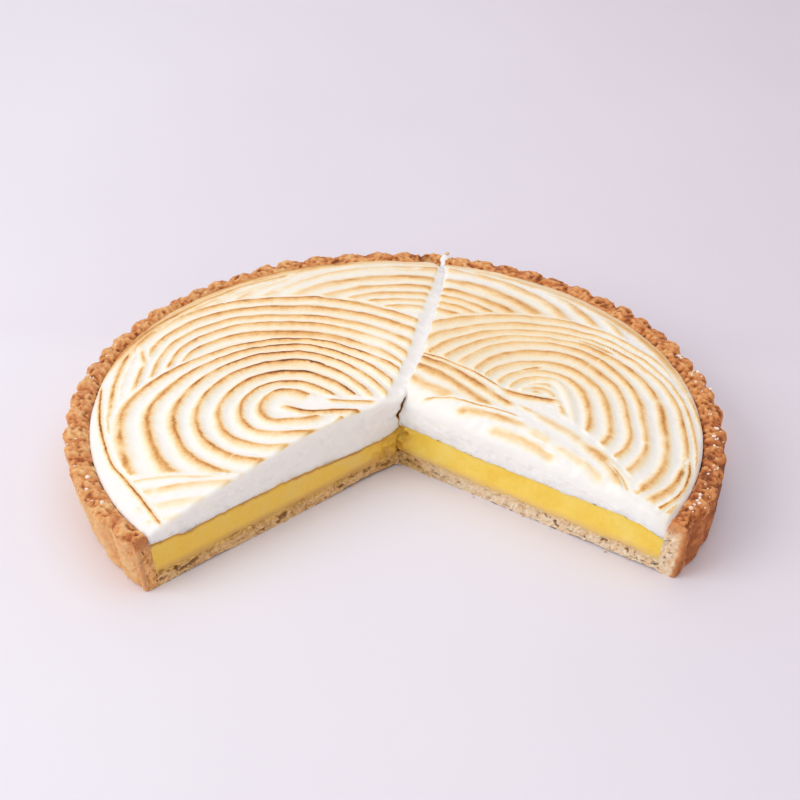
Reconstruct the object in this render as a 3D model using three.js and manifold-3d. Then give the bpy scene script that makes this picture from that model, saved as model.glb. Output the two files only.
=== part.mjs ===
// Lemon meringue tart, 27 cm across, with one wedge taken out and one knife cut right through behind it.
// Millimetres, +Z up. The origin is on the underside, at the middle of the whole tart.
// Two slices stand together. Each is a piece of shortcrust case, a layer of set lemon curd and a
// thick meringue top, which was combed into overlapping swirls before it was browned.

import * as THREE from 'three';
import { mergeVertices } from 'three/addons/utils/BufferGeometryUtils.js';
import Module from 'manifold-3d';

const wasm = await Module();
wasm.setup();

// ---- Driving dimensions ----

const RIM_RADIUS = 136.2; // mean outer radius of the case at its top
const FOOT_RADIUS = 133.2; // outer radius of the case where it stands
const RIM_HEIGHT = 26.5;
const RIM_WIDTH = 8.2; // thickness of the wall at its top
const RIM_ROUND = 3; // height over which the top of the wall is rounded
const FOOT_ROUND = 1.2; // the same where the wall meets the underside
const WALL_LEAN = 2.5; // how far the inside of the wall leans out from floor to rim
const BASE_THICKNESS = 6;

const FLUTES = 64; // scallops that the fluted tin leaves round the wall
const FLUTE_DEPTH = 3.2; // from the valley between two scallops to the crown of one
const FLUTE_MEAN = 0.6; // share of that depth that lies inside the mean radius
const FLUTE_FADE = [5.5, 1.5]; // depth in the wall where the scallops start, and where they are full
const FLUTE_UNEVENNESS = [0.2, 0.15]; // how much the scallops differ in depth
const STEPS_PER_FLUTE = 4;
const WELL_SEGMENTS = 72;
const FILLING_SEGMENTS = 48;
const PITCH_SWING = [0.018, 0.011]; // radians that the scallops wander from even spacing
const RIM_SWING = 0.7; // how much the top of the rim rises and falls
const RIM_CROWN = 0.4; // how much higher the rim stands on each scallop

const CURD_TOP = 20.5;
const CURD_RISE = 2; // the curd stands this much higher on the left side
const CURD_RISE_FROM = 25; // distance left of the middle where the rise starts
const CURD_RISE_OVER = 55;

const VALLEY_MIDDLE = 36; // height of the valleys between the comb ridges in the middle of the tart
const VALLEY_EDGE = 26; // the same where the meringue meets the case
const RIDGE_HEIGHT = 2.6; // comb ridges above the valleys between them
const RIDGE_HALF_WIDTH = 5;
const RIDGE_FOOT = 1.1; // the ridge's foot lies this far under the valley
const RIDGE_STEP = 13; // length of one straight piece of a ridge
const RIDGE_TURN = 36; // and the most degrees that it bends by

const CUT_POINT = new THREE.Vector2(0.9, -3.4); // where the three knife cuts meet
const LEFT_CUT = 222.8; // degrees from +X, seen from above
const RIGHT_CUT = -33.6;
const BACK_CUT = 81.8;
const KERF = 0.8; // gap that the knife left at the back
const BACK_TROUGH = 7.5; // width that the meringue is pushed apart at the top of the back cut
const RIGHT_TROUGH = 7; // the right slice's edge has slumped over half of this beside its front cut
const TROUGH_NARROWING = 0.45; // part of that width lost by the time the trough reaches the rim
const TROUGH_SHOULDER = 4; // depth under the valleys at which the trough's side steepens
const TROUGH_BOTTOM = 24;
const TROUGH_START = 4; // length of the trough on the near side of the cuts' meeting point

const GAP = 0.3; // clearance between layers that touch
const OVERHEAD = 60; // height that is safely above the whole tart

// ---- Combing: families of curved ridges, in the order they were drawn ----
// A swirl's ridges run round its centre. reach gives how much further out each ridge lies than the
// one inside it, to the right, up, left and down; waist is the straight stretch between the upper
// and lower half. from and to give the angles of the ends for the innermost and the outermost ridge.

const LEFT_SWIRLS = [
  {
    centre: [-45, -13],
    reach: [8.3, 7.2, 9.6, 7.7],
    waist: 0,
    rings: [0.6, 7],
    from: [20, 32],
    to: [270, 215],
  },
  {
    centre: [-50, -5],
    reach: [8.8, 8.1, 8.1, 8.1],
    waist: 0,
    rings: [6, 10],
    from: [50, 36],
    to: [136, 150],
  },
  {
    centre: [3, 38],
    reach: [7.9, 7.9, 7.9, 7.9],
    waist: 0,
    rings: [4, 10],
    from: [70, 70],
    to: [120, 140],
  },
  {
    centre: [0, 0],
    reach: [8.1, 8.1, 8.1, 8.1],
    waist: 0,
    rings: [15, 15],
    from: [155, 155],
    to: [222, 222],
  },
];

const RIGHT_SWIRLS = [
  {
    centre: [3, 38],
    reach: [7.9, 7.9, 7.9, 7.9],
    waist: 0,
    rings: [4, 10],
    from: [50, 24],
    to: [95, 95],
  },
  {
    centre: [61, 3],
    reach: [7.4, 7.8, 9, 7.4],
    waist: 33,
    rings: [0.8, 8],
    from: [-30, -47],
    to: [175, 137],
  },
  {
    centre: [0, 0],
    reach: [8.1, 8.1, 8.1, 8.1],
    waist: 0,
    rings: [15, 15],
    from: [-25, -25],
    to: [42, 42],
  },
];

// A sweep's ridges run side by side. next steps from one ridge's start to the start of the one after
// it, run goes from start to end, shorten takes a part of run off each further ridge, and bow bends it.

const LEFT_SWEEPS = [
  { start: [-45, -13], next: [-2, -7.7], run: [48, -2], shorten: 0, bow: 0, count: 7 },
  { start: [-101, -59], next: [5, -7.6], run: [40, -1], shorten: 0.22, bow: 1, count: 4 },
];

const RIGHT_SWEEPS = [
  { start: [9, 26], next: [-0.5, -6.2], run: [39, -27], shorten: 0.1, bow: 1, count: 5 },
  { start: [12, -7], next: [12, -8], run: [38, -11], shorten: 0, bow: 2, count: 2 },
  { start: [52, -13], next: [-4, -9], run: [40, -45], shorten: 0.2, bow: 6, count: 3 },
];

// ---- Solids ----

/** A closed geometry as a solid that can be joined and cut. */
function solidOf(geometry) {
  geometry.deleteAttribute('normal');
  geometry.deleteAttribute('uv');
  const merged = mergeVertices(geometry, 1e-3);
  const mesh = new wasm.Mesh({
    numProp: 3,
    vertProperties: new Float32Array(merged.attributes.position.array),
    triVerts: new Uint32Array(merged.index.array),
  });
  return new wasm.Manifold(mesh);
}

/** A solid as a named mesh of the scene. */
function meshOf(solid, name, material) {
  const { vertProperties, triVerts } = solid.getMesh();
  const geometry = new THREE.BufferGeometry();
  geometry.setAttribute('position', new THREE.BufferAttribute(vertProperties, 3));
  geometry.setIndex(new THREE.BufferAttribute(triVerts, 1));
  geometry.computeVertexNormals();
  const mesh = new THREE.Mesh(geometry, material);
  mesh.name = name;
  return mesh;
}

/** A solid turned round +Z from [radius, height] points; reshape may then move each vertex. */
function turned(profile, segments, reshape = () => {}) {
  const points = profile.map(([radius, height]) => new THREE.Vector2(radius, height));
  const geometry = new THREE.LatheGeometry(points, segments);
  geometry.rotateX(Math.PI / 2);
  const position = geometry.attributes.position;
  const vertex = new THREE.Vector3();
  for (let i = 0; i < position.count; i += 1) {
    vertex.fromBufferAttribute(position, i);
    reshape(vertex);
    position.setXYZ(i, vertex.x, vertex.y, vertex.z);
  }
  return solidOf(geometry);
}

/** Unit direction for an angle in degrees, seen from above. */
function direction(degrees) {
  const angle = THREE.MathUtils.degToRad(degrees);
  return new THREE.Vector2(Math.cos(angle), Math.sin(angle));
}

// ---- Shortcrust case ----

/** Radius of the inside of the case's wall at a height. */
function wellRadius(height) {
  const floor = RIM_RADIUS - RIM_WIDTH - WALL_LEAN;
  return floor + (WALL_LEAN * (height - BASE_THICKNESS)) / (RIM_HEIGHT - BASE_THICKNESS);
}

/** Mean radius of the outside of the case's wall at a height. */
function wallRadius(height) {
  const part = THREE.MathUtils.clamp(height / (RIM_HEIGHT - RIM_ROUND), 0, 1);
  return THREE.MathUtils.lerp(FOOT_RADIUS, RIM_RADIUS, part);
}

/** Scallop the outer side of the case and make its rim rise and fall. */
function flute(vertex) {
  const radius = Math.hypot(vertex.x, vertex.y);
  const outer = wallRadius(vertex.z);
  const outside = THREE.MathUtils.smoothstep(radius, outer - FLUTE_FADE[0], outer - FLUTE_FADE[1]);
  const angle = Math.atan2(vertex.y, vertex.x);
  const scallop = Math.abs(Math.cos((angle * FLUTES) / 2)) - FLUTE_MEAN;
  const size = 1 + FLUTE_UNEVENNESS[0] * Math.sin(5 * angle + 1) + FLUTE_UNEVENNESS[1] * Math.sin(11 * angle);
  const wander = PITCH_SWING[0] * Math.sin(3 * angle + 1) + PITCH_SWING[1] * Math.sin(7 * angle);
  const out = radius + outside * FLUTE_DEPTH * scallop * size;
  vertex.x = out * Math.cos(angle + wander);
  vertex.y = out * Math.sin(angle + wander);
  if (vertex.z > RIM_HEIGHT - RIM_ROUND) {
    vertex.z += RIM_SWING * Math.sin(4 * angle + 2) * Math.sin(9 * angle) + RIM_CROWN * scallop;
  }
}

/** The whole case: a flat floor and a leaning wall with a rounded rim. */
function caseSolid() {
  const rim = RIM_RADIUS;
  const profile = [
    [0, 0],
    [FOOT_RADIUS - FOOT_ROUND, 0],
    [FOOT_RADIUS, FOOT_ROUND],
    [rim, RIM_HEIGHT - RIM_ROUND],
    [rim - 1.8, RIM_HEIGHT - 0.6],
    [rim - RIM_WIDTH / 2, RIM_HEIGHT],
    [rim - RIM_WIDTH + 1.2, RIM_HEIGHT - 0.7],
    [wellRadius(RIM_HEIGHT - RIM_ROUND), RIM_HEIGHT - RIM_ROUND],
    [wellRadius(BASE_THICKNESS), BASE_THICKNESS],
    [0, BASE_THICKNESS],
  ];
  return turned(profile, FLUTES * STEPS_PER_FLUTE, flute);
}

/** The room inside the case, which curd and meringue fill, carried on straight up above the rim. */
function wellSolid() {
  const top = RIM_HEIGHT - RIM_ROUND;
  const profile = [
    [0, BASE_THICKNESS + GAP],
    [wellRadius(BASE_THICKNESS) - GAP, BASE_THICKNESS + GAP],
    [wellRadius(top) - GAP, top],
    [wellRadius(top) - GAP, OVERHEAD],
    [0, OVERHEAD],
  ];
  return turned(profile, WELL_SEGMENTS);
}

// ---- Filling ----

/** Height of the top of the curd: level on the right, risen on the left. */
function curdTop(x) {
  const part = THREE.MathUtils.smoothstep(-x, CURD_RISE_FROM, CURD_RISE_FROM + CURD_RISE_OVER);
  return CURD_TOP + CURD_RISE * part;
}

/** Height of the meringue's valleys at a radius. */
function domeTop(radius) {
  const fall = (radius / (RIM_RADIUS - RIM_WIDTH)) ** 3;
  return VALLEY_EDGE + (VALLEY_MIDDLE - VALLEY_EDGE) * (1 - fall);
}

/** A disc wider than the well, from a flat floor up to the top of the curd. */
function curdBlank() {
  const over = [1, 0.75, 0.5, 0.25].map((part) => [part * RIM_RADIUS, 1]);
  const profile = [[0, 0], [RIM_RADIUS, 0], ...over, [0, 1]];
  return turned(profile, FILLING_SEGMENTS, (vertex) => {
    vertex.z *= curdTop(vertex.x);
  });
}

/** A disc wider than the well, from just above the curd up to the meringue's valleys. */
function domeBlank() {
  const rings = [0.25, 0.5, 0.75, 0.9, 1].map((part) => part * RIM_RADIUS);
  const under = rings.filter((ring, index) => index !== 3).map((ring) => [ring, 0]);
  const over = rings.map((ring) => [ring, 1]).reverse();
  return turned([[0, 0], ...under, ...over, [0, 1]], FILLING_SEGMENTS, (vertex) => {
    const radius = Math.hypot(vertex.x, vertex.y);
    vertex.z = vertex.z > 0.5 ? domeTop(radius) : curdTop(vertex.x) + GAP;
  });
}

/** One comb ridge over the dome: a bar of triangular section along points, thinning out at both ends. */
function ridgeSolid(points) {
  const last = points.length - 1;
  const corners = [];
  for (let i = 0; i <= last; i += 1) {
    const here = points[i];
    const along = points[Math.min(i + 1, last)].clone().sub(points[Math.max(i - 1, 0)]).normalize();
    const side = new THREE.Vector2(-along.y, along.x).multiplyScalar(RIDGE_HALF_WIDTH);
    const level = domeTop(here.length());
    const atEnd = i === 0 || i === last;
    const crest = atEnd ? level - RIDGE_FOOT / 2 : level + RIDGE_HEIGHT;
    corners.push(here.x - side.x, here.y - side.y, level - RIDGE_FOOT);
    corners.push(here.x + side.x, here.y + side.y, level - RIDGE_FOOT);
    corners.push(here.x, here.y, crest);
  }
  const faces = [0, 2, 1];
  for (let i = 0; i < last; i += 1) {
    for (let j = 0; j < 3; j += 1) {
      const [a, b] = [3 * i + j, 3 * i + ((j + 1) % 3)];
      faces.push(a, b, a + 3, b, b + 3, a + 3);
    }
  }
  faces.push(3 * last, 3 * last + 1, 3 * last + 2);
  const geometry = new THREE.BufferGeometry();
  geometry.setAttribute('position', new THREE.BufferAttribute(new Float32Array(corners), 3));
  geometry.setIndex(faces);
  return solidOf(geometry);
}

/** The ridges of one swirl. */
function swirlRidges({ centre, reach, waist, rings, from, to }) {
  const ridges = [];
  const count = Math.round(rings[1] - rings[0]);
  for (let i = 0; i <= count; i += 1) {
    const part = count ? i / count : 0;
    const ring = THREE.MathUtils.lerp(rings[0], rings[1], part);
    const first = THREE.MathUtils.lerp(from[0], from[1], part);
    const turn = THREE.MathUtils.lerp(to[0], to[1], part) - first;
    const length = THREE.MathUtils.degToRad(turn) * ring * reach[1];
    const steps = Math.max(4, Math.ceil(length / RIDGE_STEP), Math.ceil(turn / RIDGE_TURN));
    const points = [];
    for (let step = 0; step <= steps; step += 1) {
      const way = direction(first + (turn * step) / steps);
      const across = ring * (way.x > 0 ? reach[0] : reach[2]) * way.x;
      const up = ring * (way.y > 0 ? reach[1] : reach[3]) * way.y;
      points.push(new THREE.Vector2(centre[0] + across, centre[1] + up - (way.y < 0 ? waist : 0)));
    }
    ridges.push(ridgeSolid(points));
  }
  return ridges;
}

/** The ridges of one sweep. */
function sweepRidges({ start, next, run, shorten, bow, count }) {
  const ridges = [];
  for (let i = 0; i < count; i += 1) {
    const length = 1 - shorten * i;
    const side = new THREE.Vector2(-run[1], run[0]).normalize();
    const steps = Math.max(2, Math.ceil((Math.hypot(...run) * length) / RIDGE_STEP));
    const points = [];
    for (let step = 0; step <= steps; step += 1) {
      const part = step / steps;
      const bend = bow * 4 * part * (1 - part);
      const x = start[0] + next[0] * i + run[0] * length * part + side.x * bend;
      const y = start[1] + next[1] * i + run[1] * length * part + side.y * bend;
      points.push(new THREE.Vector2(x, y));
    }
    ridges.push(ridgeSolid(points));
  }
  return ridges;
}

/** The combed meringue of a whole tart, with one side's swirls and sweeps all over it. */
function combedBlank(swirls, sweeps) {
  const ridges = [...swirls.flatMap(swirlRidges), ...sweeps.flatMap(sweepRidges)];
  return ridges.reduce((body, ridge) => body.add(ridge), domeBlank());
}

// ---- Knife cuts ----

/** A tall block over one slice, between two cut angles, that keeps half a kerf off the back cut. */
function sliceBlock(from, to) {
  const middle = direction((from + to) / 2);
  const back = direction(BACK_CUT);
  const away = new THREE.Vector2(-back.y, back.x).multiplyScalar(KERF / 2);
  const side = away.dot(middle) > 0 ? away : away.negate();
  const corner = CUT_POINT.clone().add(side);
  const outline = new THREE.Shape([corner]);
  const steps = 5;
  for (let i = 0; i <= steps; i += 1) {
    const rim = direction(from + ((to - from) * i) / steps).multiplyScalar(RIM_RADIUS * 1.5).add(corner);
    outline.lineTo(rim.x, rim.y);
  }
  const block = new THREE.ExtrudeGeometry(outline, { depth: 2 * OVERHEAD, bevelEnabled: false });
  block.translate(0, 0, -OVERHEAD);
  return solidOf(block);
}

/** What the knife pushed aside: a V-shaped trough along a cut, narrower towards the rim. */
function troughSolid(angle, width) {
  const half = width / 2;
  const shoulder = VALLEY_MIDDLE - TROUGH_SHOULDER;
  const top = VALLEY_MIDDLE + 2 * RIDGE_HEIGHT;
  const section = new THREE.Shape([
    new THREE.Vector2(-KERF / 2, TROUGH_BOTTOM),
    new THREE.Vector2(KERF / 2, TROUGH_BOTTOM),
    new THREE.Vector2(0.5 * half, shoulder),
    new THREE.Vector2(1.4 * half, top),
    new THREE.Vector2(-1.4 * half, top),
    new THREE.Vector2(-0.5 * half, shoulder),
  ]);
  const length = 1.1 * RIM_RADIUS;
  const trough = new THREE.ExtrudeGeometry(section, { depth: length, steps: 1, bevelEnabled: false });
  const position = trough.attributes.position;
  for (let i = 0; i < position.count; i += 1) {
    const part = position.getZ(i) / length;
    position.setX(i, position.getX(i) * (1 - TROUGH_NARROWING * part));
    position.setZ(i, position.getZ(i) - TROUGH_START);
  }
  trough.rotateX(Math.PI / 2);
  trough.rotateZ(Math.PI + THREE.MathUtils.degToRad(angle - 90));
  trough.translate(CUT_POINT.x, CUT_POINT.y, 0);
  return solidOf(trough);
}

// ---- The tart ----

const crustFinish = new THREE.MeshStandardMaterial({ color: 0xcf955c, roughness: 0.85, metalness: 0 });
const curdFinish = new THREE.MeshStandardMaterial({ color: 0xf2c544, roughness: 0.3, metalness: 0 });
const meringueFinish = new THREE.MeshStandardMaterial({ color: 0xf6e6cd, roughness: 0.7, metalness: 0 });

const wholeCase = caseSolid();
const well = wellSolid();
const wholeCurd = curdBlank().intersect(well);

const slices = [
  { side: 'left', from: BACK_CUT, to: LEFT_CUT, swirls: LEFT_SWIRLS, sweeps: LEFT_SWEEPS, edges: [] },
  {
    side: 'right',
    from: RIGHT_CUT,
    to: BACK_CUT,
    swirls: RIGHT_SWIRLS,
    sweeps: RIGHT_SWEEPS,
    edges: [troughSolid(RIGHT_CUT, RIGHT_TROUGH)],
  },
];

const tart = new THREE.Group();
for (const { side, from, to, swirls, sweeps, edges } of slices) {
  const block = sliceBlock(from, to);
  const cuts = [troughSolid(BACK_CUT, BACK_TROUGH), ...edges];
  const combed = combedBlank(swirls, sweeps).intersect(well).intersect(block);
  const meringue = cuts.reduce((body, cut) => body.subtract(cut), combed);
  tart.add(meshOf(wholeCase.intersect(block), `crust_${side}`, crustFinish.clone()));
  tart.add(meshOf(wholeCurd.intersect(block), `curd_${side}`, curdFinish.clone()));
  tart.add(meshOf(meringue, `meringue_${side}`, meringueFinish.clone()));
}

export default tart;
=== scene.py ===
import bpy
import numpy as np
from math import ceil, cos, pi, radians, sin
from mathutils import Matrix, Vector, noise


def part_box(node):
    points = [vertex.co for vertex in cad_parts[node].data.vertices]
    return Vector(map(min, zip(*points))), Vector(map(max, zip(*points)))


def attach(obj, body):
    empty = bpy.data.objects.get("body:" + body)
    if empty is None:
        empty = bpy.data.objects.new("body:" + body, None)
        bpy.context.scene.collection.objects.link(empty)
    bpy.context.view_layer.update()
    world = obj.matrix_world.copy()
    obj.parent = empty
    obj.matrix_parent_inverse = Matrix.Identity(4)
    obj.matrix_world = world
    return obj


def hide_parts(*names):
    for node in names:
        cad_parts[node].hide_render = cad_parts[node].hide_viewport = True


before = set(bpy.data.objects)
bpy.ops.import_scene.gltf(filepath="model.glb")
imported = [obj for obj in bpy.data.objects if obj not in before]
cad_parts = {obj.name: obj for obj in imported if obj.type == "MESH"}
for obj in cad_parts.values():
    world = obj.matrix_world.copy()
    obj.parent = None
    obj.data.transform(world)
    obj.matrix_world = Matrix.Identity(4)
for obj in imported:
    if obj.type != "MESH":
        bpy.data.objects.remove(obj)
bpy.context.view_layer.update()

# ---- Shortcrust case, cut into two slices ----
# Butter shortcrust rolled 6 mm thick, pressed into a 27 cm fluted tin and baked blind. One wedge has
# been lifted out in front, and the knife has gone once more from the middle to the back. The skin is
# sandy and golden, browner along the rim, and the cut crumb is pale with pores and ragged clefts.

MM = 0.001
WELD = 1e-7  # corners nearer to each other than this, in metres, are made one
ON_CUT = 0.05  # points nearer to a cut than this, in mm, lie on it
CUT_POINT = np.array((0.9, -3.4))  # where the three knife cuts meet
KERF = 0.3  # width of the cut between the two slices
SLICES = {"left": (81.8, 222.8), "right": (-33.6, 81.8)}  # degrees from +X of each slice's two cuts

RIM_RADIUS = 136.2  # outside of the wall at its top and at its foot, halfway down a scallop
FOOT_RADIUS = 133.2
RIM_HEIGHT = 26.5
WELL_FOOT = 125.5  # radius of the inside of the wall, at its foot and at its top
WELL_TOP = 128.0
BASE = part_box("curd_right")[0][2] / MM - 0.3  # height of the base, where the curd lies on it
FLUTES = 64
FLUTE_DEPTH = 2.9
FLUTE_RISE = 1.1  # how much higher the rim stands on a scallop than between two
FLUTE_STEP = 0.78  # length of one face round the rim
RIM_CROWN = 2.0  # how far the rim's two edges lie below its middle
WALL = 8  # thickness of the wall, about
BAR_RADIUS = 2  # where the unit bar is swept round, before it is given its real size
WORN_EDGE = 1.1  # how far the cut wall's edges have crumbled back, and how far from them it begins
WORN_SIDE, WORN_TOP = 1.8, 2.2
FINE_PORES = 170  # on one cut face

# Where the case strays from a true circle: angle, how wide the stray is, and how far out, in mm.
RIM_STRAYS = ((192, 18, 1.5), (150, 22, -1.0), (100, 25, -0.8), (-35, 4, -1.9), (223, 4, -1.6))
FOOT_STRAYS = ((205, 40, -1.5), (150, 25, -1.0), (100, 25, -0.8), (-12, 20, 2.4), (-35, 4, -0.9),
               (223, 4, -1.0))

# The larger pores on the cut wall: distance from the slice's point, height and radius.
WALL_PORES = {
    "left": ((127.2, 14.3, 0.75), (129.6, 16.0, 0.6), (129.0, 19.0, 0.65), (127.0, 9.0, 0.4)),
    "right": ((125.8, 8.3, 0.6), (127.2, 11.6, 0.55), (126.8, 14.8, 0.6), (125.8, 17.2, 0.65),
              (126.4, 20.4, 0.4), (125.4, 5.4, 0.4)),
}
# Clefts where the base has crumbled under the knife: distance, height, half length, half height.
BASE_CLEFTS = {
    "left": ((7, 3.0, 3, 0.8), (11, 4.2, 1.5, 0.5), (17.5, 4.6, 2.8, 0.7), (25, 5.2, 3, 0.6),
             (31.5, 3.2, 1.6, 1.3), (39.5, 1.1, 1, 0.7), (47.5, 1.0, 1.5, 0.5), (62, 3.6, 2.5, 1.4),
             (64, 1.8, 1.8, 0.9), (73, 1.6, 3.2, 0.7), (83.5, 2.4, 1.5, 0.7), (98, 4.8, 3, 0.4),
             (107, 3.8, 2.6, 1.4), (111.5, 2.6, 2.2, 1.1), (114.5, 4.6, 1.6, 1.2), (121, 2.6, 2.2, 0.8)),
    "right": ((4, 3.2, 2, 0.8), (8, 5.0, 0.9, 0.8), (10, 2.2, 4, 0.5), (20.5, 2.7, 3.8, 0.45),
              (31, 3.2, 0.9, 0.6), (53, 1.2, 1.2, 0.4), (68.5, 3.0, 0.7, 0.6), (72.5, 4.8, 1.2, 0.7),
              (77, 3.0, 0.9, 1.3), (84.5, 2.0, 1.2, 0.8), (89.8, 1.8, 1, 0.7), (98.6, 4.6, 1.0, 0.9),
              (109, 4.3, 1, 0.8), (113, 2.0, 0.9, 0.6), (116.5, 1.8, 1, 0.7), (120.7, 3.1, 1.1, 0.9)),
}
# How far the underside has crumbled away at the cut: distances from the point, and heights.
CRUMBLED = {
    "left": ((0, 6, 14, 27, 36, 55, 80, 92, 110, 120), (1.0, 0.6, 1.5, 1.5, 0.4, 0.0, 0.2, 0.9, 0.7, 0.1)),
    "right": ((0, 60, 75, 88, 118, 126), (0.0, 0.1, 0.0, 0.9, 0.8, 0.2)),
}
# Browning of the cut base, and of the cut wall: its middle, its outer edge and its top.
# The left slice's higher numbers are partly painted shade: its cuts face away from the light.
TOAST_AND_SHADE = {"left": (0.36, 0.85, 0.24, 0.62), "right": (0.03, 0.08, 0.55, 0.42)}
# A piece has broken out of the rim beside the back cut: its angle and half width, in radians.
NOTCH = (radians(84.8), 0.032)
NOTCH_DEPTH = 3.2


class Cut:
    """One upright knife cut: a line seen from above, at an angle in degrees, shifted to its left."""

    def __init__(self, angle, shift):
        self.angle = radians(angle)
        self.along = np.array((cos(self.angle), sin(self.angle)))
        self.across = np.array((-sin(self.angle), cos(self.angle)))
        self.offset = self.across @ CUT_POINT + shift

    def angle_at(self, radius):
        """Angle at which a circle round the tart's middle meets the cut."""
        return self.angle + np.arcsin(self.offset / radius)

    def left_of(self, xy):
        """How far points lie to the left of the cut, in mm."""
        return xy @ self.across - self.offset


def slice_cuts(side):
    """The cut where a slice starts, going round counterclockwise, and the one where it ends."""
    start, end = SLICES[side]
    if side == "left":
        return Cut(start, KERF / 2), Cut(end, 0)
    return Cut(start, 0), Cut(end, -KERF / 2)


def slice_tip(side):
    """Where a slice's two cuts meet."""
    start, end = slice_cuts(side)
    return np.linalg.solve(np.array((start.across, end.across)), np.array((start.offset, end.offset)))


def inside_cuts(side, xy):
    """How far points are inside the slice from its first cut, and from its last."""
    start, end = slice_cuts(side)
    return start.left_of(xy), -end.left_of(xy)


def from_tip(side, xyz):
    """Distance of points from the slice's tip, seen from above."""
    return np.linalg.norm(xyz[:, :2] - slice_tip(side), axis=1)


def slice_outline(side, radius, fine, coarse):
    """A slice seen from above: closely spaced points along both cuts, wider ones round the rim."""
    start, end = slice_cuts(side)
    tip = slice_tip(side)
    turns = start.angle_at(radius), end.angle_at(radius)
    count = ceil((turns[1] - turns[0]) * radius / coarse)
    arc = [radius * np.array((cos(turn), sin(turn))) for turn in np.linspace(*turns, count + 1)]
    edges = []
    for corner in (arc[0], arc[-1]):
        count = ceil(np.linalg.norm(corner - tip) / fine)
        edges.append([tip + (corner - tip) * i / count for i in range(count)])
    return np.array(edges[0] + arc + edges[1][:0:-1])


def polar(xyz):
    """Distance of points from the tart's middle, seen from above, and their angle round it."""
    return np.hypot(xyz[:, 0], xyz[:, 1]), np.arctan2(xyz[:, 1], xyz[:, 0])


def well_radius(height):
    """Radius of the inside of the wall, which leans out a little."""
    return np.interp(height, (BASE, RIM_HEIGHT), (WELL_FOOT, WELL_TOP))


def select_none():
    """Nothing selected, and no mesh open for editing."""
    if bpy.context.object and bpy.context.object.mode == "EDIT":
        bpy.ops.object.mode_set(mode="OBJECT")
    bpy.ops.object.select_all(action="DESELECT")


def select_only(piece):
    """One piece selected and active."""
    select_none()
    piece.select_set(True)
    bpy.context.view_layer.objects.active = piece


def corners(piece):
    """A piece's vertices as rows of x, y, z in mm."""
    flat = np.empty(3 * len(piece.data.vertices))
    piece.data.vertices.foreach_get("co", flat)
    return flat.reshape(-1, 3) / MM


def place(piece, xyz):
    """Move a piece's vertices to rows of x, y, z in mm."""
    piece.data.vertices.foreach_set("co", (xyz * MM).ravel())
    piece.data.update()


def outward(piece):
    """Unit normal at every vertex."""
    flat = np.empty(3 * len(piece.data.vertices))
    piece.data.vertices.foreach_get("normal", flat)
    return flat.reshape(-1, 3)


def paint(piece, name, values):
    """Keep a number, or three numbers, for each vertex, for the piece's material to read."""
    values = np.asarray(values, dtype=np.float32)
    kind, field = ("FLOAT", "value") if values.ndim == 1 else ("FLOAT_VECTOR", "vector")
    piece.data.attributes.new(name, kind, "POINT").data.foreach_set(field, values.ravel())


def painted(piece, name):
    """The number kept for each vertex under a name."""
    values = np.empty(len(piece.data.vertices), dtype=np.float32)
    piece.data.attributes[name].data.foreach_get("value", values)
    return values


def lumps(xyz, *layers):
    """Smooth uneven relief of one or more layers: how strong each is, how many mm its lumps are
    across, and a number that picks its pattern. A layer runs from about -1 to 1 times its strength."""
    return sum(strength * (1.6 * np.array([noise.noise(point) for point in (xyz / size + pattern).tolist()]))
               for strength, size, pattern in layers)


def smooth(low, high, value):
    """0 below low, 1 above high, and an even ease between them."""
    part = np.clip((value - low) / (high - low), 0, 1)
    return part * part * (3 - 2 * part)


def mend_normals(piece):
    """Weld doubles and turn every face outwards."""
    select_only(piece)
    bpy.ops.object.mode_set(mode="EDIT")
    bpy.ops.mesh.select_all(action="SELECT")
    bpy.ops.mesh.remove_doubles(threshold=WELD)
    bpy.ops.mesh.normals_make_consistent(inside=False)
    bpy.ops.object.mode_set(mode="OBJECT")


def subdivide_cuts(piece, side):
    """Halve the size of the faces that lie on the slice's two cuts."""
    faces = piece.data.polygons
    middles = np.empty(3 * len(faces))
    faces.foreach_get("center", middles)
    near = np.minimum(*inside_cuts(side, middles.reshape(-1, 3)[:, :2] / MM))
    select_only(piece)
    bpy.ops.object.mode_set(mode="EDIT")
    bpy.ops.mesh.select_mode(type="FACE")
    bpy.ops.mesh.select_all(action="DESELECT")
    bpy.ops.object.mode_set(mode="OBJECT")
    faces.foreach_set("select", near < 0.4 * ON_CUT)
    bpy.ops.object.mode_set(mode="EDIT")
    bpy.ops.mesh.subdivide(number_cuts=1)
    bpy.ops.mesh.select_mode(type="VERT")
    bpy.ops.object.mode_set(mode="OBJECT")


def raised_outline(name, outline, height, steps):
    """A flat outline in mm, drawn up to its height in even steps."""
    select_none()
    bpy.ops.mesh.primitive_circle_add(vertices=len(outline), radius=1, fill_type="NGON")
    piece = bpy.context.object
    piece.name = piece.data.name = name
    place(piece, np.column_stack((outline, np.zeros(len(outline)))))
    bpy.ops.object.mode_set(mode="EDIT")
    for _ in range(steps):
        bpy.ops.mesh.extrude_region_move(TRANSFORM_OT_translate={"value": (0, 0, height * MM / steps)})
    bpy.ops.object.mode_set(mode="OBJECT")
    mend_normals(piece)
    return piece


def flute_wave(angle):
    """Height of the scallops, 0 to 1, round the case; each is a little different from the next."""
    rng = np.random.default_rng(3)
    lean = rng.uniform(-0.12, 0.12, FLUTES)
    bulk = rng.uniform(0.75, 1.1, FLUTES)
    wander = 0.018 * np.sin(3 * angle + 1) + 0.011 * np.sin(7 * angle)
    turn = (angle - wander) * FLUTES / (2 * pi)
    flute = np.floor(turn + 0.5)
    part = turn - flute
    flute = (flute % FLUTES).astype(int)
    part = part + lean[flute] * (1 - 4 * part * part)
    return bulk[flute] * np.cos(pi * np.clip(part, -0.5, 0.5)) ** 0.7


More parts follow.
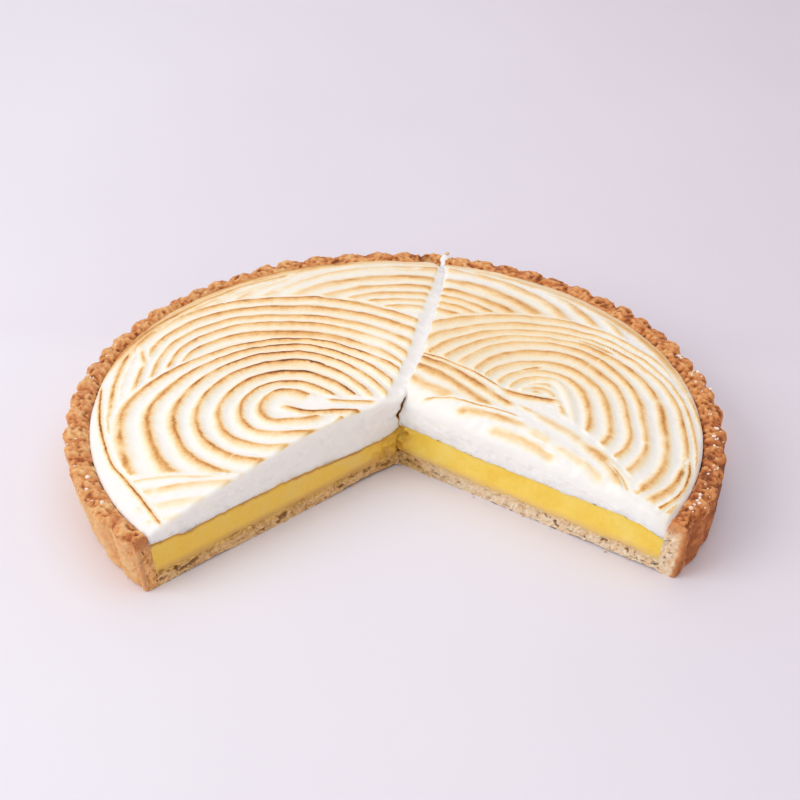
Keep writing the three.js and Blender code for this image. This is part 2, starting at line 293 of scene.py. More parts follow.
def strayed(angle, strays):
    """How far the case strays from a true circle at an angle in radians."""
    turn = np.degrees(angle)
    away = [np.mod(turn - at + 180, 360) - 180 for at, _, _ in strays]
    return sum(far * np.exp(-(gap / wide) ** 2) for gap, (_, wide, far) in zip(away, strays))


def rounded(inside, size):
    """Fall of a rounded edge, 1 at its brink and 0 at a distance inside it."""
    return 1 - np.sqrt(1 - np.clip(1 - inside / size, 0, 1) ** 2)


def notched(angle):
    """1 in the middle of the notch in the rim, falling to 0 on both sides of it."""
    middle, half_width = NOTCH
    return np.exp(-((angle - middle) / half_width) ** 2)


def wandering(xyz):
    """Points near where the cuts meet, moved sideways: the knife tore an uneven line there."""
    near_point = smooth(15, 3, np.linalg.norm(xyz[:, :2] - CUT_POINT, axis=1))
    sideways = 0.75 * np.sin(xyz[:, 2] / 2.3 + 0.4) + 0.35 * np.sin(xyz[:, 2] / 0.85)
    return xyz + np.outer(near_point * sideways, (1, 0, 0))


def wall_bar(side):
    """The upright wall of one slice's case: a gridded oblong swept round between the two cuts."""
    start, end = slice_cuts(side)
    select_none()
    bpy.ops.mesh.primitive_grid_add(x_subdivisions=16, y_subdivisions=44, size=1)
    piece = bpy.context.object
    section = corners(piece) * MM + 0.5
    upright = np.column_stack((section[:, 0] + BAR_RADIUS, np.zeros(len(section)), section[:, 1]))
    place(piece, upright / MM)
    bpy.ops.object.mode_set(mode="EDIT")
    bpy.ops.mesh.select_all(action="SELECT")
    turn = end.angle_at(RIM_RADIUS) - start.angle_at(RIM_RADIUS)
    steps = ceil(turn * RIM_RADIUS / FLUTE_STEP)
    bpy.ops.mesh.spin(steps=steps, angle=-turn, center=(0, 0, 0), axis=(0, 0, 1))
    bpy.ops.object.mode_set(mode="OBJECT")
    mend_normals(piece)
    return piece


def shape_wall(piece, side):
    """Give the swept bar the case's section, its scallops and the rise and fall of its rim."""
    start, end = slice_cuts(side)
    swept = corners(piece) * MM
    reach, angle = polar(swept)
    across, height = reach - BAR_RADIUS, swept[:, 2]  # both 0 to 1, outwards and upwards
    turn = end.angle_at(RIM_RADIUS) - start.angle_at(RIM_RADIUS)
    part = np.clip((angle + 0.01) % (2 * pi) - 0.01, 0, turn) / turn
    z = height * (RIM_HEIGHT - RIM_CROWN * np.abs(2 * across - 1) ** 4)
    outside = np.interp(z, (0, RIM_HEIGHT), (FOOT_RADIUS, RIM_RADIUS))
    outside -= 0.9 * np.clip(1 - z / 1.2, 0, 1) ** 2
    inside = well_radius(z)
    radius = inside + (outside - inside) * across
    angle = start.angle_at(radius) + (end.angle_at(radius) - start.angle_at(radius)) * part
    lean = z / RIM_HEIGHT
    radius += across * (lean * strayed(angle, RIM_STRAYS) + (1 - lean) * strayed(angle, FOOT_STRAYS))
    wave = flute_wave(angle)
    outer = smooth(0.4, 0.95, across)
    radius = radius + outer * FLUTE_DEPTH * np.interp(z, (0, 9), (0.4, 1)) * (wave - 0.55)
    rim = smooth(0.8, 1.0, height)
    z = z + rim * (FLUTE_RISE * (wave - 0.6) * outer + 0.45 * np.sin(4 * angle + 2) * np.sin(9 * angle))
    z -= NOTCH_DEPTH * rim * notched(angle) * smooth(0.75, 0.45, across)
    angle = start.angle_at(radius) + (end.angle_at(radius) - start.angle_at(radius)) * part
    worn = np.maximum(rounded((1 - across) * WALL, WORN_SIDE), rounded((1 - height) * RIM_HEIGHT, WORN_TOP))
    worn *= smooth(5, 0, np.minimum(part, 1 - part) * turn * radius) * WORN_EDGE
    angle += np.where(part < 0.5, worn, -worn) / radius
    place(piece, np.column_stack((radius * np.cos(angle), radius * np.sin(angle), z)))
    paint(piece, "outer", across)


def pore_depth(along, height, holes):
    """How deep points on a cut face lie in the nearest round or flattened hole, in mm."""
    depth = np.zeros(len(along))
    for hole_along, hole_height, length, tall in holes:
        near = np.abs(along - hole_along) < length
        gap = np.hypot((along[near] - hole_along) / length, (height[near] - hole_height) / tall)
        depth[near] = np.maximum(depth[near], tall * np.sqrt(np.clip(1 - gap * gap, 0, 1)))
    return depth


def crumb_holes(side, rng):
    """The holes of one cut face of the case: fine pores all over, a few larger ones, and clefts."""
    radius = rng.uniform(0.2, 0.42, FINE_PORES)
    along, height = rng.uniform(2, 126, FINE_PORES), rng.uniform(0.4, BASE - 0.7, FINE_PORES)
    fine = np.column_stack((along, height, radius, radius))
    large = [(along, height, radius, radius) for along, height, radius in WALL_PORES[side]]
    return np.vstack((fine, large, BASE_CLEFTS[side]))


def roughen_crust(piece, side, rng):
    """Crumb and pores on the knife cuts, a sandy and pitted baked skin elsewhere."""
    xyz = corners(piece)
    distances = inside_cuts(side, xyz[:, :2])
    near = np.minimum(*distances)
    along = from_tip(side, xyz)
    radius, _ = polar(xyz)
    on_cut = near < ON_CUT
    pits = np.zeros(len(xyz))
    for distance in distances:
        face = distance < ON_CUT
        holes = crumb_holes(side, rng)
        ragged = along[face] + lumps(xyz[face], (0.9, 2.4, 13), (0.5, 0.9, 14))
        height = xyz[face, 2] + lumps(xyz[face], (0.5, 1.9, 17), (0.4, 0.8, 18))
        pits[face] = np.maximum(pits[face], pore_depth(ragged, height, holes))

    # The skin is rough and cratered, most of all on the rim. The crumb is torn and full of pores.
    rim = smooth(RIM_HEIGHT - 5, RIM_HEIGHT - 1.5, xyz[:, 2])
    craters = smooth(0.35, 0.75, lumps(xyz, (1, 2.1, 23))) * (0.25 + 0.75 * rim)
    skin = lumps(xyz, (0.24, 4.5, 2), (0.22 + 0.30 * rim, 1.8, 7)) - 0.65 * craters
    crumb = lumps(xyz, (0.30, 2.4, 5), (0.30, 1.1, 9))
    push = np.where(on_cut, crumb - 1.1 * pits, skin)
    push[(radius < WELL_FOOT + 0.3) & ~on_cut] = 0
    push *= smooth(0.05, 0.8, xyz[:, 2])
    normal = outward(piece)
    normal[on_cut, 2] = 0
    xyz = xyz + normal * push[:, None]

    # Along the cuts the base has crumbled away from below, and rises unevenly under the curd.
    flat = xyz * (1, 1, 0)
    crumbled = np.interp(along, *CRUMBLED[side]) + lumps(flat, (0.35, 2.2, 21), (0.35, 5.5, 19))
    at_foot = smooth(2.6, 0.3, xyz[:, 2]) * smooth(2.2, 0, near) * (radius < FOOT_RADIUS - 3)
    xyz[:, 2] += at_foot * np.clip(crumbled, 0, 2.2)
    at_floor = smooth(0.7, 0.0, np.abs(xyz[:, 2] - BASE - 0.2)) * (near < 2) * (radius < WELL_FOOT - 1)
    xyz[:, 2] += at_floor * np.clip(0.35 + lumps(flat, (0.6, 3.0, 25), (0.4, 1.2, 27)), 0, 1.4)
    xyz = wandering(xyz)
    place(piece, xyz)

    # The cuts are browned from the outside and the top inwards, and curd has soaked into the base.
    # On the left slice, whose cuts face away from the light, part of the brown and of the soaked yellow is
    # painted shade.
    on_wall = smooth(WELL_FOOT - 2.5, WELL_FOOT + 1.5, radius)
    high = smooth(RIM_HEIGHT - 7, RIM_HEIGHT - 3, xyz[:, 2] + lumps(xyz, (1, 2.6, 67)))
    outer = painted(piece, "outer") + lumps(xyz, (0.08, 2.6, 65))
    base_brown, wall_brown, edge_brown, top_brown = TOAST_AND_SHADE[side]
    # Near the point, in the corner between the cuts, the base is painted browner: painted shade.
    base_brown = base_brown + 0.06 * smooth(40, 5, along)
    toast_and_shade = base_brown + (wall_brown - base_brown) * on_wall
    toast_and_shade += (edge_brown - toast_and_shade) * smooth(0.64, 0.92, outer)
    toast_and_shade += (top_brown - toast_and_shade) * high * on_wall
    skinned = 0.85 * np.maximum(high, smooth(0.64, 0.86, outer))
    # Painted shade in uneven patches on the cut base near the point, where the cuts meet in a corner.
    tip_shade = 0.12 * smooth(50, 5, along) * smooth(-0.1, 0.5, lumps(xyz, (1, 1.3, 61)))
    soaked = smooth(BASE - 2.6, BASE - 0.8, xyz[:, 2] + lumps(xyz, (0.7, 2.6, 63)))
    soaked *= radius < WELL_FOOT - 0.5
    # On the left the whole base inside the wall is painted yellower: partly soaked curd, partly painted
    # shade.
    golden = np.maximum(soaked, 0.5 * (radius < WELL_FOOT)) * 0.85 if side == "left" else 0.35 * soaked

    # The skin is browner on the rim. It is painted darker in its hollows, between the scallops and where the
    # wall faces right: painted shade.
    _, angle = polar(xyz)
    wave = flute_wave(angle)
    aside = xyz[:, 1] / radius
    facing_right = smooth(-0.2, 0.9, xyz[:, 0] / radius)
    browned = 0.09 + rim * (0.20 + 0.20 * (0.6 - wave)) - (0.42 + 0.14 * rim) * skin
    # On the right the rim is browner as well, partly real browning and partly painted shade.
    browned += facing_right * (0.06 + rim * (0.08 + 0.12 * smooth(0.2, -0.3, aside)))
    # The outer wall facing right and to the front is painted darker: painted shade.
    right_wall_shade = 0.48 + 0.22 * smooth(-0.5, -0.25, aside)
    browned += right_wall_shade * facing_right * smooth(0.3, -0.15, aside) * (1 - rim)
    # Craters in the skin and the broken notch in the rim are painted dark: painted shade.
    deep = (0.15 + 0.25 * rim) * craters + 0.5 * notched(angle) * rim * (radius < RIM_RADIUS - 3)

    paint(piece, "crumb", smooth(0.8, 0.1, near) * (1 - skinned))
    # Pores and clefts on the cuts are painted dark, like the craters: painted shade.
    paint(piece, "pit", np.clip(np.where(on_cut, pits / 0.6 + tip_shade * (radius < WELL_FOOT), deep), 0, 1))
    paint(piece, "soak", np.maximum(golden, 0.7 * smooth(30, 5, along)))
    paint(piece, "bake", np.where(near < 0.8, toast_and_shade, browned))


def linear(colour):
    """A #RRGGBB colour as linear red, green, blue and full alpha."""
    parts = [int(colour[i:i + 2], 16) / 255 for i in (1, 3, 5)]
    return (*(c / 12.92 if c <= 0.04045 else ((c + 0.055) / 1.055) ** 2.4 for c in parts), 1)


def node(tree, kind, settings=None, links=None, output=0):
    """Add a node and give back one of its outputs. settings are its properties, or a ramp's stops, and
    links are what its inputs get: values, or other nodes' outputs."""
    made = tree.nodes.new("ShaderNode" + kind)
    for name, value in (settings or {}).items():
        if name == "stops":
            for _ in value[2:]:
                made.color_ramp.elements.new(0.5)
            for stop, (position, colour) in zip(made.color_ramp.elements, value):
                stop.position, stop.color = position, linear(colour)
        else:
            setattr(made, name, value)
    for socket, value in (links or {}).items():
        if isinstance(value, bpy.types.NodeSocket):
            tree.links.new(value, made.inputs[socket])
        else:
            made.inputs[socket].default_value = value
    return made.outputs[output] if made.outputs else None


def new_material(name):
    """An empty node material and its tree."""
    material = bpy.data.materials.new(name)
    material.use_nodes = True
    material.node_tree.nodes.clear()
    return material, material.node_tree


def baked_shortcrust():
    """Baked butter shortcrust: a dry, sandy, matt skin, golden to chestnut, over a pale open crumb."""
    material, tree = new_material("baked_shortcrust")
    where = node(tree, "TexCoord", output="Object")
    # Clouds of 9 mm, sand of 1 mm and specks of 2.6 mm.
    cloud, sand, speck = (
        node(tree, "TexNoise", None, {
            "Vector": where, "Scale": 1 / size, "Detail": detail, "Roughness": rough})
        for size, detail, rough in ((0.009, 4.0, 0.5), (0.0011, 3.0, 0.7), (0.0026, 2.0, 0.5)))
    bake, crumb, pit, soak = (node(tree, "Attribute", {"attribute_name": name}, output="Fac")
                              for name in ("bake", "crumb", "pit", "soak"))
    # The skin, from barely coloured to chestnut, with painted shade in its hollows and on the wall facing
    # right.
    baked = node(tree, "Math", {"operation": "MULTIPLY_ADD"}, {0: cloud, 1: 0.75, 2: bake})
    baked = node(tree, "Math", {"operation": "MULTIPLY_ADD"}, {0: sand, 1: 0.4, 2: baked})
    baked = node(tree, "Math", {"operation": "SUBTRACT"}, {0: baked, 1: 0.45})
    skin = node(tree, "ValToRGB", {"stops": (
        (0.0, "#F8D097"), (0.28, "#F1B576"), (0.55, "#DE9052"), (0.8, "#B4622C"), (1.0, "#85451C"))},
        {0: baked})
    # The crumb, pale inside, toffee coloured where it is browned, and yellow where curd has soaked in. On
    # the left slice part of both is painted shade.
    grain = node(tree, "Math", {"operation": "MULTIPLY"}, {0: sand, 1: 0.45})
    grain = node(tree, "Math", {"operation": "MULTIPLY_ADD"}, {0: speck, 1: 0.75, 2: grain})
    flesh, toast, sticky = (node(tree, "ValToRGB", {"stops": stops}, {0: grain}) for stops in (
        ((0.30, "#DDB180"), (0.44, "#F6D6AE"), (0.70, "#FDEACF")),
        ((0.45, "#CF7F36"), (0.68, "#FCB964")),
        ((0.45, "#B58434"), (0.68, "#F2C363"))))
    toast_and_shade = node(tree, "Math", {"operation": "MULTIPLY_ADD"}, {0: speck, 1: -0.35, 2: bake})
    toast_and_shade = node(tree, "Math", {"operation": "ADD", "use_clamp": True}, {0: toast_and_shade, 1: 0.17})
    flesh = node(tree, "Mix", {"data_type": "RGBA"}, {0: toast_and_shade, 6: flesh, 7: toast}, 2)
    # Crumb over skin with a frayed border, then the soaked places, and last the painted shade of pores,
    # clefts, craters and the point.
    edge = node(tree, "Math", {"operation": "MULTIPLY_ADD"}, {0: cloud, 1: 0.5, 2: crumb})
    edge = node(tree, "Math", {"operation": "SUBTRACT", "use_clamp": True}, {0: edge, 1: 0.25})
    deep = node(tree, "Math", {"operation": "MULTIPLY"}, {0: pit, 1: 0.75})
    colour = skin
    for share, over in ((edge, flesh), (soak, sticky), (deep, linear("#845224"))):
        colour = node(tree, "Mix", {"data_type": "RGBA"}, {0: share, 6: colour, 7: over}, 2)
    relief = node(tree, "Math", {"operation": "MULTIPLY_ADD"}, {0: speck, 1: 0.8, 2: sand})
    bumped = node(tree, "Bump", None, {"Strength": 1.0, "Distance": 0.0010, "Height": relief})
    shader = node(tree, "BsdfPrincipled", None, {
        "Base Color": colour, "Normal": bumped, "Roughness": 0.72, "IOR": 1.45,
        "Subsurface Weight": 0.12, "Subsurface Radius": (1.0, 0.5, 0.25), "Subsurface Scale": 0.0015})
    node(tree, "OutputMaterial", None, {"Surface": shader})
    return material


shortcrust = baked_shortcrust()

for side in SLICES:
    rng = np.random.default_rng(11 if side == "left" else 12)
    wall = wall_bar(side)
    shape_wall(wall, side)
    mend_normals(wall)
    outline = slice_outline(side, WELL_FOOT - 0.02, 0.55, 3)
    crust = raised_outline(f"pastry_case_{side}", outline, BASE + 0.2, 12)
    wall.select_set(True)
    crust.select_set(True)
    bpy.context.view_layer.objects.active = crust
    bpy.ops.object.join()
    subdivide_cuts(crust, side)
    roughen_crust(crust, side, rng)
    crust.data.materials.append(shortcrust)
    select_only(crust)
    bpy.ops.object.shade_smooth_by_angle(angle=radians(50))
    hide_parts(f"crust_{side}")
    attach(crust, "root")

# ---- Lemon curd ----
# Egg, butter, sugar and lemon juice cooked thick and poured hot into the case, where it sets to a
# smooth jelly. The knife leaves it clean and moist, and it has soaked a little into the base.

CURD_RADIUS = WELL_FOOT - 0.1


def curd_top(side, along):
    """Height of the curd at a distance from the tip: it dips at the point and climbs to the wall."""
    if side == "left":
        return np.interp(along, (0, 4, 10, 22, 40, 52, 62, 100, 107, 118, 126),
                         (20.0, 18.6, 17.1, 17.1, 18.5, 19.5, 20.0, 20.2, 19.4, 21.2, 21.7))
    return np.interp(along, (0, 20, 42, 62, 72, 78, 90, 106, 115, 118, 120.5, 128),
                     (20.6, 20.2, 19.5, 19.6, 20.0, 19.4, 20.0, 20.2, 19.5, 18.8, 17.6, 17.2))


def curd_edge(side, xyz):
    """The uneven line where curd meets meringue."""
    return curd_top(side, from_tip(side, xyz)) + lumps(xyz * (1, 1, 0), (0.35, 4.5, 31), (0.30, 1.5, 33))


def set_curd():
    """Set lemon curd: smooth, moist and slightly see-through, deep yellow where light enters it."""
    material, tree = new_material("set_lemon_curd")
    where = node(tree, "TexCoord", output="Object")
    # Clouds of 12 mm and a fine mottle of 1.6 mm.
    cloud, fine = (node(tree, "TexNoise", None, {"Vector": where, "Scale": 1 / size, "Detail": 3.0})
                   for size in (0.012, 0.0016))
    stain = node(tree, "Attribute", {"attribute_name": "stain"}, output="Fac")
    mottle = node(tree, "Math", {"operation": "MULTIPLY"}, {0: cloud, 1: 0.75})
    mottle = node(tree, "Math", {"operation": "MULTIPLY_ADD"}, {0: fine, 1: 0.25, 2: mottle})
    colour = node(tree, "ValToRGB", {"stops": (
        (0.3, "#F6CB48"), (0.5, "#FCD75E"), (0.7, "#FEE07C"))}, {0: mottle})
    # Paler over the lowest 4 mm, where it has mixed with the base, and browner where brown marks and painted
    # shade are kept.
    height = node(tree, "SeparateXYZ", None, {0: where}, "Z")
    low = node(tree, "MapRange", None, {
        "Value": height, "From Min": BASE * MM, "From Max": (BASE + 4.0) * MM, "To Min": 1.0, "To Max": 0.0})
    for share, clouded, rest, over in ((low, 1.2, 0.25, "#E9BE83"), (stain, 1.0, 0.35, "#BE8026")):
        uneven = node(tree, "Math", {"operation": "MULTIPLY_ADD"}, {0: cloud, 1: clouded, 2: rest})
        uneven = node(tree, "Math", {"operation": "MULTIPLY", "use_clamp": True}, {0: share, 1: uneven})
        colour = node(tree, "Mix", {"data_type": "RGBA"}, {0: uneven, 6: colour, 7: linear(over)}, 2)
    bumped = node(tree, "Bump", None, {"Strength": 0.25, "Distance": 0.0004, "Height": fine})
    shader = node(tree, "BsdfPrincipled", None, {
        "Base Color": colour, "Normal": bumped, "Roughness": 0.36, "IOR": 1.38,
        "Subsurface Weight": 0.35, "Subsurface Radius": (1.0, 0.7, 0.15), "Subsurface Scale": 0.003})
    node(tree, "OutputMaterial", None, {"Surface": shader})
    return material


curd_finish = set_curd()

for side in SLICES:
    curd = raised_outline(f"lemon_curd_{side}", slice_outline(side, CURD_RADIUS, 0.7, 3), 1, 20)
    xyz = corners(curd)
    near = np.minimum(*inside_cuts(side, xyz[:, :2]))
    radius, _ = polar(xyz)
    # Away from the cuts the top is sunk out of the meringue's way. The side follows the leaning wall.
    top = curd_edge(side, xyz) + 0.8 - 3.0 * smooth(1, 5, near)
    xyz[:, 2] = BASE + (top - BASE) * xyz[:, 2]
    at_wall = radius > CURD_RADIUS - 0.05
    spread = np.where(at_wall, (well_radius(xyz[:, 2]) + 0.15) / radius, 1)
    xyz[:, :2] *= spread[:, None]
    place(curd, xyz)
    # The cut face ripples and is torn at the point. It is tucked in under the meringue and over the base.
    normal = outward(curd)
    normal[:, 2] = 0
    tuck = 1.1 * smooth(-1.15, -0.7, xyz[:, 2] - top) + 0.08 * smooth(BASE + 1.6, BASE + 0.6, xyz[:, 2])
    at_point = smooth(22 if side == "left" else 12, 1, from_tip(side, xyz))
    torn = at_point * (lumps(xyz, (1.2, 3.4, 45), (0.8, 1.5, 47)) - 0.2)
    ripple = lumps(xyz, (0.16, 9, 41), (0.10, 2.5, 43)) + torn
    place(curd, wandering(xyz + normal * ((ripple - tuck) * (near < ON_CUT))[:, None]))
    # Painted shade: a darker line under the meringue, and all over the left cut face, which faces away from
    # the light, most near the base.
    # At the point the dark flecks are partly brown marks and partly painted shade in the corner.
    shade_line = smooth(1.3, 0.4, np.abs(xyz[:, 2] - top + 1.3)) * (0.75 if side == "left" else 0.12)
    flecks = (0.18 if side == "left" else 0.6) * (1 + lumps(xyz, (0.8, 1.8, 49))) * at_point ** 2
    shaded = 0.26 + 0.26 * smooth(BASE + 4, BASE + 1, xyz[:, 2]) if side == "left" else 0
    paint(curd, "stain", np.clip(shade_line + flecks + shaded, 0, 1))
    curd.data.materials.append(curd_finish)
    select_only(curd)
    bpy.ops.object.shade_smooth_by_angle(angle=radians(60))
    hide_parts(f"curd_{side}")
    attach(curd, "root")

# ---- Meringue ----
# Egg white whipped with hot syrup, spread up to 18 mm thick over the curd and combed with a toothed
# scraper in overlapping swirls and strokes. A blowtorch then browned the ridges and left the valleys
# white. The knife pressed a groove along the back cut and let the right slice's edge slump.

VALLEY_MIDDLE = 36.0  # height of the valleys between ridges, in the middle and where the case begins
VALLEY_EDGE = 26.0
COMBED = 124  # the comb's strokes end at this radius
HEAPED = {"left": (-34, -36, 26), "right": (24, 8, 18)}  # where more was piled up: x, y and how wide
HEAP = 1.7  # how much higher it stands there
FAN = {"left": (380, 190), "right": (320, 190)}  # faces from cut to cut, and from the tip to the rim
DRAW_STEPS = 22  # faces from the top of a cut to its foot
NICK_SPACING = 30.0  # a ridge may be nicked once in this length, but seldom is
NICKED = 0.15
BLUNT = 3.0  # how blunt a swirl's rings are where they cross its middle line
TOWARDS_FRONT_LEFT = np.array((-0.6, -0.8))  # ridges are browned widest on their front-left side
SMEARED = 0.12  # how much of the ridges' height is left where the surface was wiped flat
BUBBLES = 260  # on the cut faces of one slice

# The big swirl of the left slice, and the wide arcs that were combed round its back. Each list says how
# far out its ridges lie: to the right, back, left and front of the centre.
BIG_SWIRL = {
    "centre": (-45, -17),
    "reaches": ((14.4, 23.4, 31.5, 37, 45, 53, 65), (12.5, 19, 27, 36, 43, 49, 54),
                (11, 19, 28, 37, 46, 56.5, 67.5), (10.5, 19, 27, 36, 46, 57, 74)),
    "roundness": (1.5, 1.75, 2.0, 3.0),
}
WIDE_ARCS = {
    "centre": (-52, 8),
    "reaches": ((58, 64, 73, 84, 91), (35.5, 44.5, 51.5, 60.5, 69.5), (42, 46.5, 52.3, 58, 66),
                (60, 70, 80, 90, 100)),
    "roundness": (1.7, 2.6, 3.0, 3.0),
    "hidden": 4,
}
# Arcs across the back of both slices, under everything else.
BACK_ARCS = {
    "centre": (3, 38),
    "reaches": ((9, 18, 27, 35, 42.5, 49, 56.5, 66.5, 77, 89, 98),
                (8, 16, 24, 31.5, 38, 45, 53, 64, 79, 88, 97),
                (9, 18, 27.5, 36, 42, 47, 58, 68, 77, 88, 95),
                (8, 16, 24, 32, 40, 48, 56, 64, 72, 80, 88)),
    "roundness": (2.0, 2.0, 2.0, 2.0),
}
# The swirl of the right slice, drawn out long towards the front.
RIGHT_SWIRL = {
    "centre": (62, -8),
    "waist": 12,
    "reaches": ((9.5, 16.5, 25, 33, 39.5, 48, 56.5, 60, 64), (19, 24, 31, 40.5, 48.5, 53.5, 59, 65, 72.5),
                (17, 22.5, 29.5, 33.5, 42, 51, 61, 71, 85.5), (14, 20, 30, 36.5, 46, 55.5, 63, 67, 75)),
    "roundness": (2.0, 2.0, 2.0, 2.1),
    "hidden": 2,
}

# Single strokes: the line each follows, its width to the next valley, its height, how brown it is, and
# how dark the thin line along its crest is.
LEFT_STROKES = (
    (((-32, -12), (-20, -11.8), (-5, -11.5)), 5.5, 0.9, 0.78, 0.3),
    (((-49, -15), (-44, -17.5), (-38, -20.5), (-32, -21), (-25, -20), (-10, -18.5)), 7, 1.1, 0.95, 0.5),
    (((-110, -60), (-95, -58), (-78, -59), (-58, -61)), 4, 0.5, 0.42, 0.2),
    (((-106, -66), (-90, -65), (-78, -63.5), (-66, -63.5), (-52, -64)), 8, 0.9, 0.5, 0.1),
    (((-104, -75), (-88, -73.5), (-66, -71)), 8, 0.8, 0.36, 0),
    (((-98, -83), (-84, -80.5), (-70, -79)), 6, 0.6, 0.36, 0),
    (((-58, 85), (-45, 99), (-28, 110), (-8, 116), (12, 118)), 8, 0.6, 0.4, 0),
    (((-70, 88), (-50, 104)), 7, 0.6, 0.36, 0),
    (((-80, 83), (-60, 100)), 5, 0.5, 0.3, 0),
    (((-113, 40), (-111, 30), (-108, 20)), 6, 0.6, 0.7, 0.3),
    (((-117, 38), (-119.5, 22), (-120, 5), (-118.5, -14)), 6.5, 0.8, 0.8, 0.35),
    (((-112, 53), (-103, 65), (-92, 76), (-80, 86)), 6, 0.5, 0.6, 0.1),
    (((-127, 0), (-126, 20), (-121, 38), (-113, 55), (-103, 68), (-92, 80), (-80, 91), (-66, 101),
      (-50, 110)), 5.5, 0.4, 0.6, 0.1),
    (((-97, 84), (-85, 95), (-70, 106), (-50, 117), (-25, 124)), 4.5, 0.3, 0.5, 0.0),
    (((-126, 12), (-122, -17), (-113, -45), (-105.5, -57), (-97, -70), (-86, -87)), 5, 0.8, 0.85, 0.7),
)
RIGHT_STROKES = (
    (((77, 47), (84, 44), (90, 41), (96, 36)), 5.5, 0.7, 0.6, 0.1),
    (((50, 15), (57, 18.5), (64, 20.5)), 4.5, 0.7, 0.8, 0.4),
    (((124, 10), (121, 30), (113, 50), (101, 68), (86, 85), (68, 99), (48, 110), (30, 116)),
     8.0, 0.5, 0.5, 0.0),
    (((38, -18), (50, -24), (59, -31), (67, -40)), 11.0, 0.4, 0.42, 0.0),
    (((20, -13), (28, -14.8), (35, -16.6), (42, -19.3), (49, -22.5), (56, -27)), 8.0, 0.4, 0.72, 0.0),
    (((33, -23), (41, -26.5), (49, -31), (57, -36.5), (67, -44.5)), 8.0, 0.4, 0.52, 0.0),
    (((60, -33), (69, -40), (77, -48), (84, -57)), 8.0, 0.3, 0.4, 0.0),
    (((-4, 18), (4, 10), (13, 1), (20, -4), (28, -9)), 9.0, 0.6, 0.55, 0.0),
    (((-6, 30), (6, 20), (20, 7), (34, -8), (43, -15)), 9.0, 0.8, 0.74, 0.1),
    (((-2, 33), (9, 25), (20, 16), (33, 3), (43, -7), (52, -14)), 8.5, 0.9, 0.74, 0.3),
    (((-1, 37), (9, 29), (20, 21), (30, 13.5), (40, 4), (51, -5)), 3.6, 0.7, 0.7, 0.7),
    (((52, 1), (58, 3.5), (63, 2), (66, -4), (68, -12), (69, -19)), 5.0, 0.7, 0.6, 0.1),
    (((40, 0), (46, -1), (52, -3), (57, -4), (63, -5), (70, -6)), 7.0, 0.9, 0.95, 0.4),
    (((8, -6.6), (15, -6.8), (24, -8.3), (33, -11.6), (41, -14.3), (52, -19)), 2.8, 0.5, 0.62, 0.6),
    (((48, -9), (54, -13), (62, -19), (69, -25), (74, -30)), 5.0, 0.6, 0.75, 0.4),
    (((54, -13), (64, -22), (73, -31), (81, -42)), 9.0, 0.6, 0.5, 0.0),
    (((72, -31), (79, -38), (84, -45), (88, -53), (92, -62)), 10.0, 0.7, 0.85, 0.1),
    (((84, -44), (88, -50), (90, -56), (91, -62)), 2.6, 0.2, 0.6, 0.2),
    (((94, -63.5), (99, -61.5), (104, -58.5), (109, -53), (113, -45.5), (116, -37)), 7.5, 1.0, 0.85, 0.1),
    (((98, -67), (104.5, -63.8), (109.8, -59), (114.2, -51.5), (117, -42), (118, -33)), 4.5, 0.9, 0.85, 0.5),
    (((82, -58), (90, -62.5), (98, -67.5), (107, -72)), 8.5, 2.4, 0.0, 0.0),
)
# On the right slice the swirl is wiped away inside these two lines.
INNER_BORDER = ((4, 30), (10, 26), (20, 20), (30, 13), (40, 4), (47, -2), (64, -9))
OUTER_BORDER = ((60, 4), (64, -6), (70, -18), (80, -31), (88, -44), (91, -54), (93, -62), (99, -70))
SMEAR_BORDER = ((-118, -54), (-60, -61), (-50, -61))  # and on the left slice in front of this one


def swirl_rings(xy, centre, reaches, roundness, waist=0, hidden=0):
    """Where points are in a swirl: the ring they are on, whole along a ridge, which way is outwards,
    and how far along the ring they are. Each quarter of a ring is a rounded arc between its reaches.
    The waist draws it out towards the front. Hidden rings, inside the first, even out the spacing."""
    dx, dy = (xy - centre).T
    dy = np.where(dy < 0, np.minimum(dy + waist, 0), dy)
    known = []
    for reach in reaches:
        inner = [0.01, max(2 * reach[0] - reach[1], 0.2 * reach[0])] if hidden else [0.01]
        known.append([*inner, *reach, 5 * reach[-1] - 4 * reach[-2]])
    numbers = [-hidden, *range(0 if hidden else 1, len(reaches[0]) + 1), len(reaches[0]) + 4]
    power = np.where(dy > 0, np.where(dx > 0, roundness[0], roundness[1]),
                     np.where(dx > 0, roundness[3], roundness[2]))
    sideways = np.hypot(dx, BLUNT) - BLUNT
    low, high = np.full(len(xy), -float(hidden)), np.full(len(xy), float(numbers[-1]))
    for _ in range(20):
        ring = (low + high) / 2
        right, back, left, front = (np.interp(ring, numbers, reach) for reach in known)
        across, deep = np.where(dx > 0, right, left), np.where(dy > 0, back, front)
        across = np.hypot(across, BLUNT) - BLUNT
        outside = (sideways / across) ** power + (np.abs(dy) / deep) ** power > 1
        low, high = np.where(outside, ring, low), np.where(outside, high, ring)
    way = np.column_stack((
        np.sign(dx) * sideways ** (power - 1) / across ** power,
        np.sign(dy) * np.abs(dy) ** (power - 1) / deep ** power))
    way /= np.linalg.norm(way, axis=1)[:, None] + 1e-9
    size = np.interp(np.round(ring), numbers, known[1])
    return ring, way, np.arctan2(dy, dx) * size


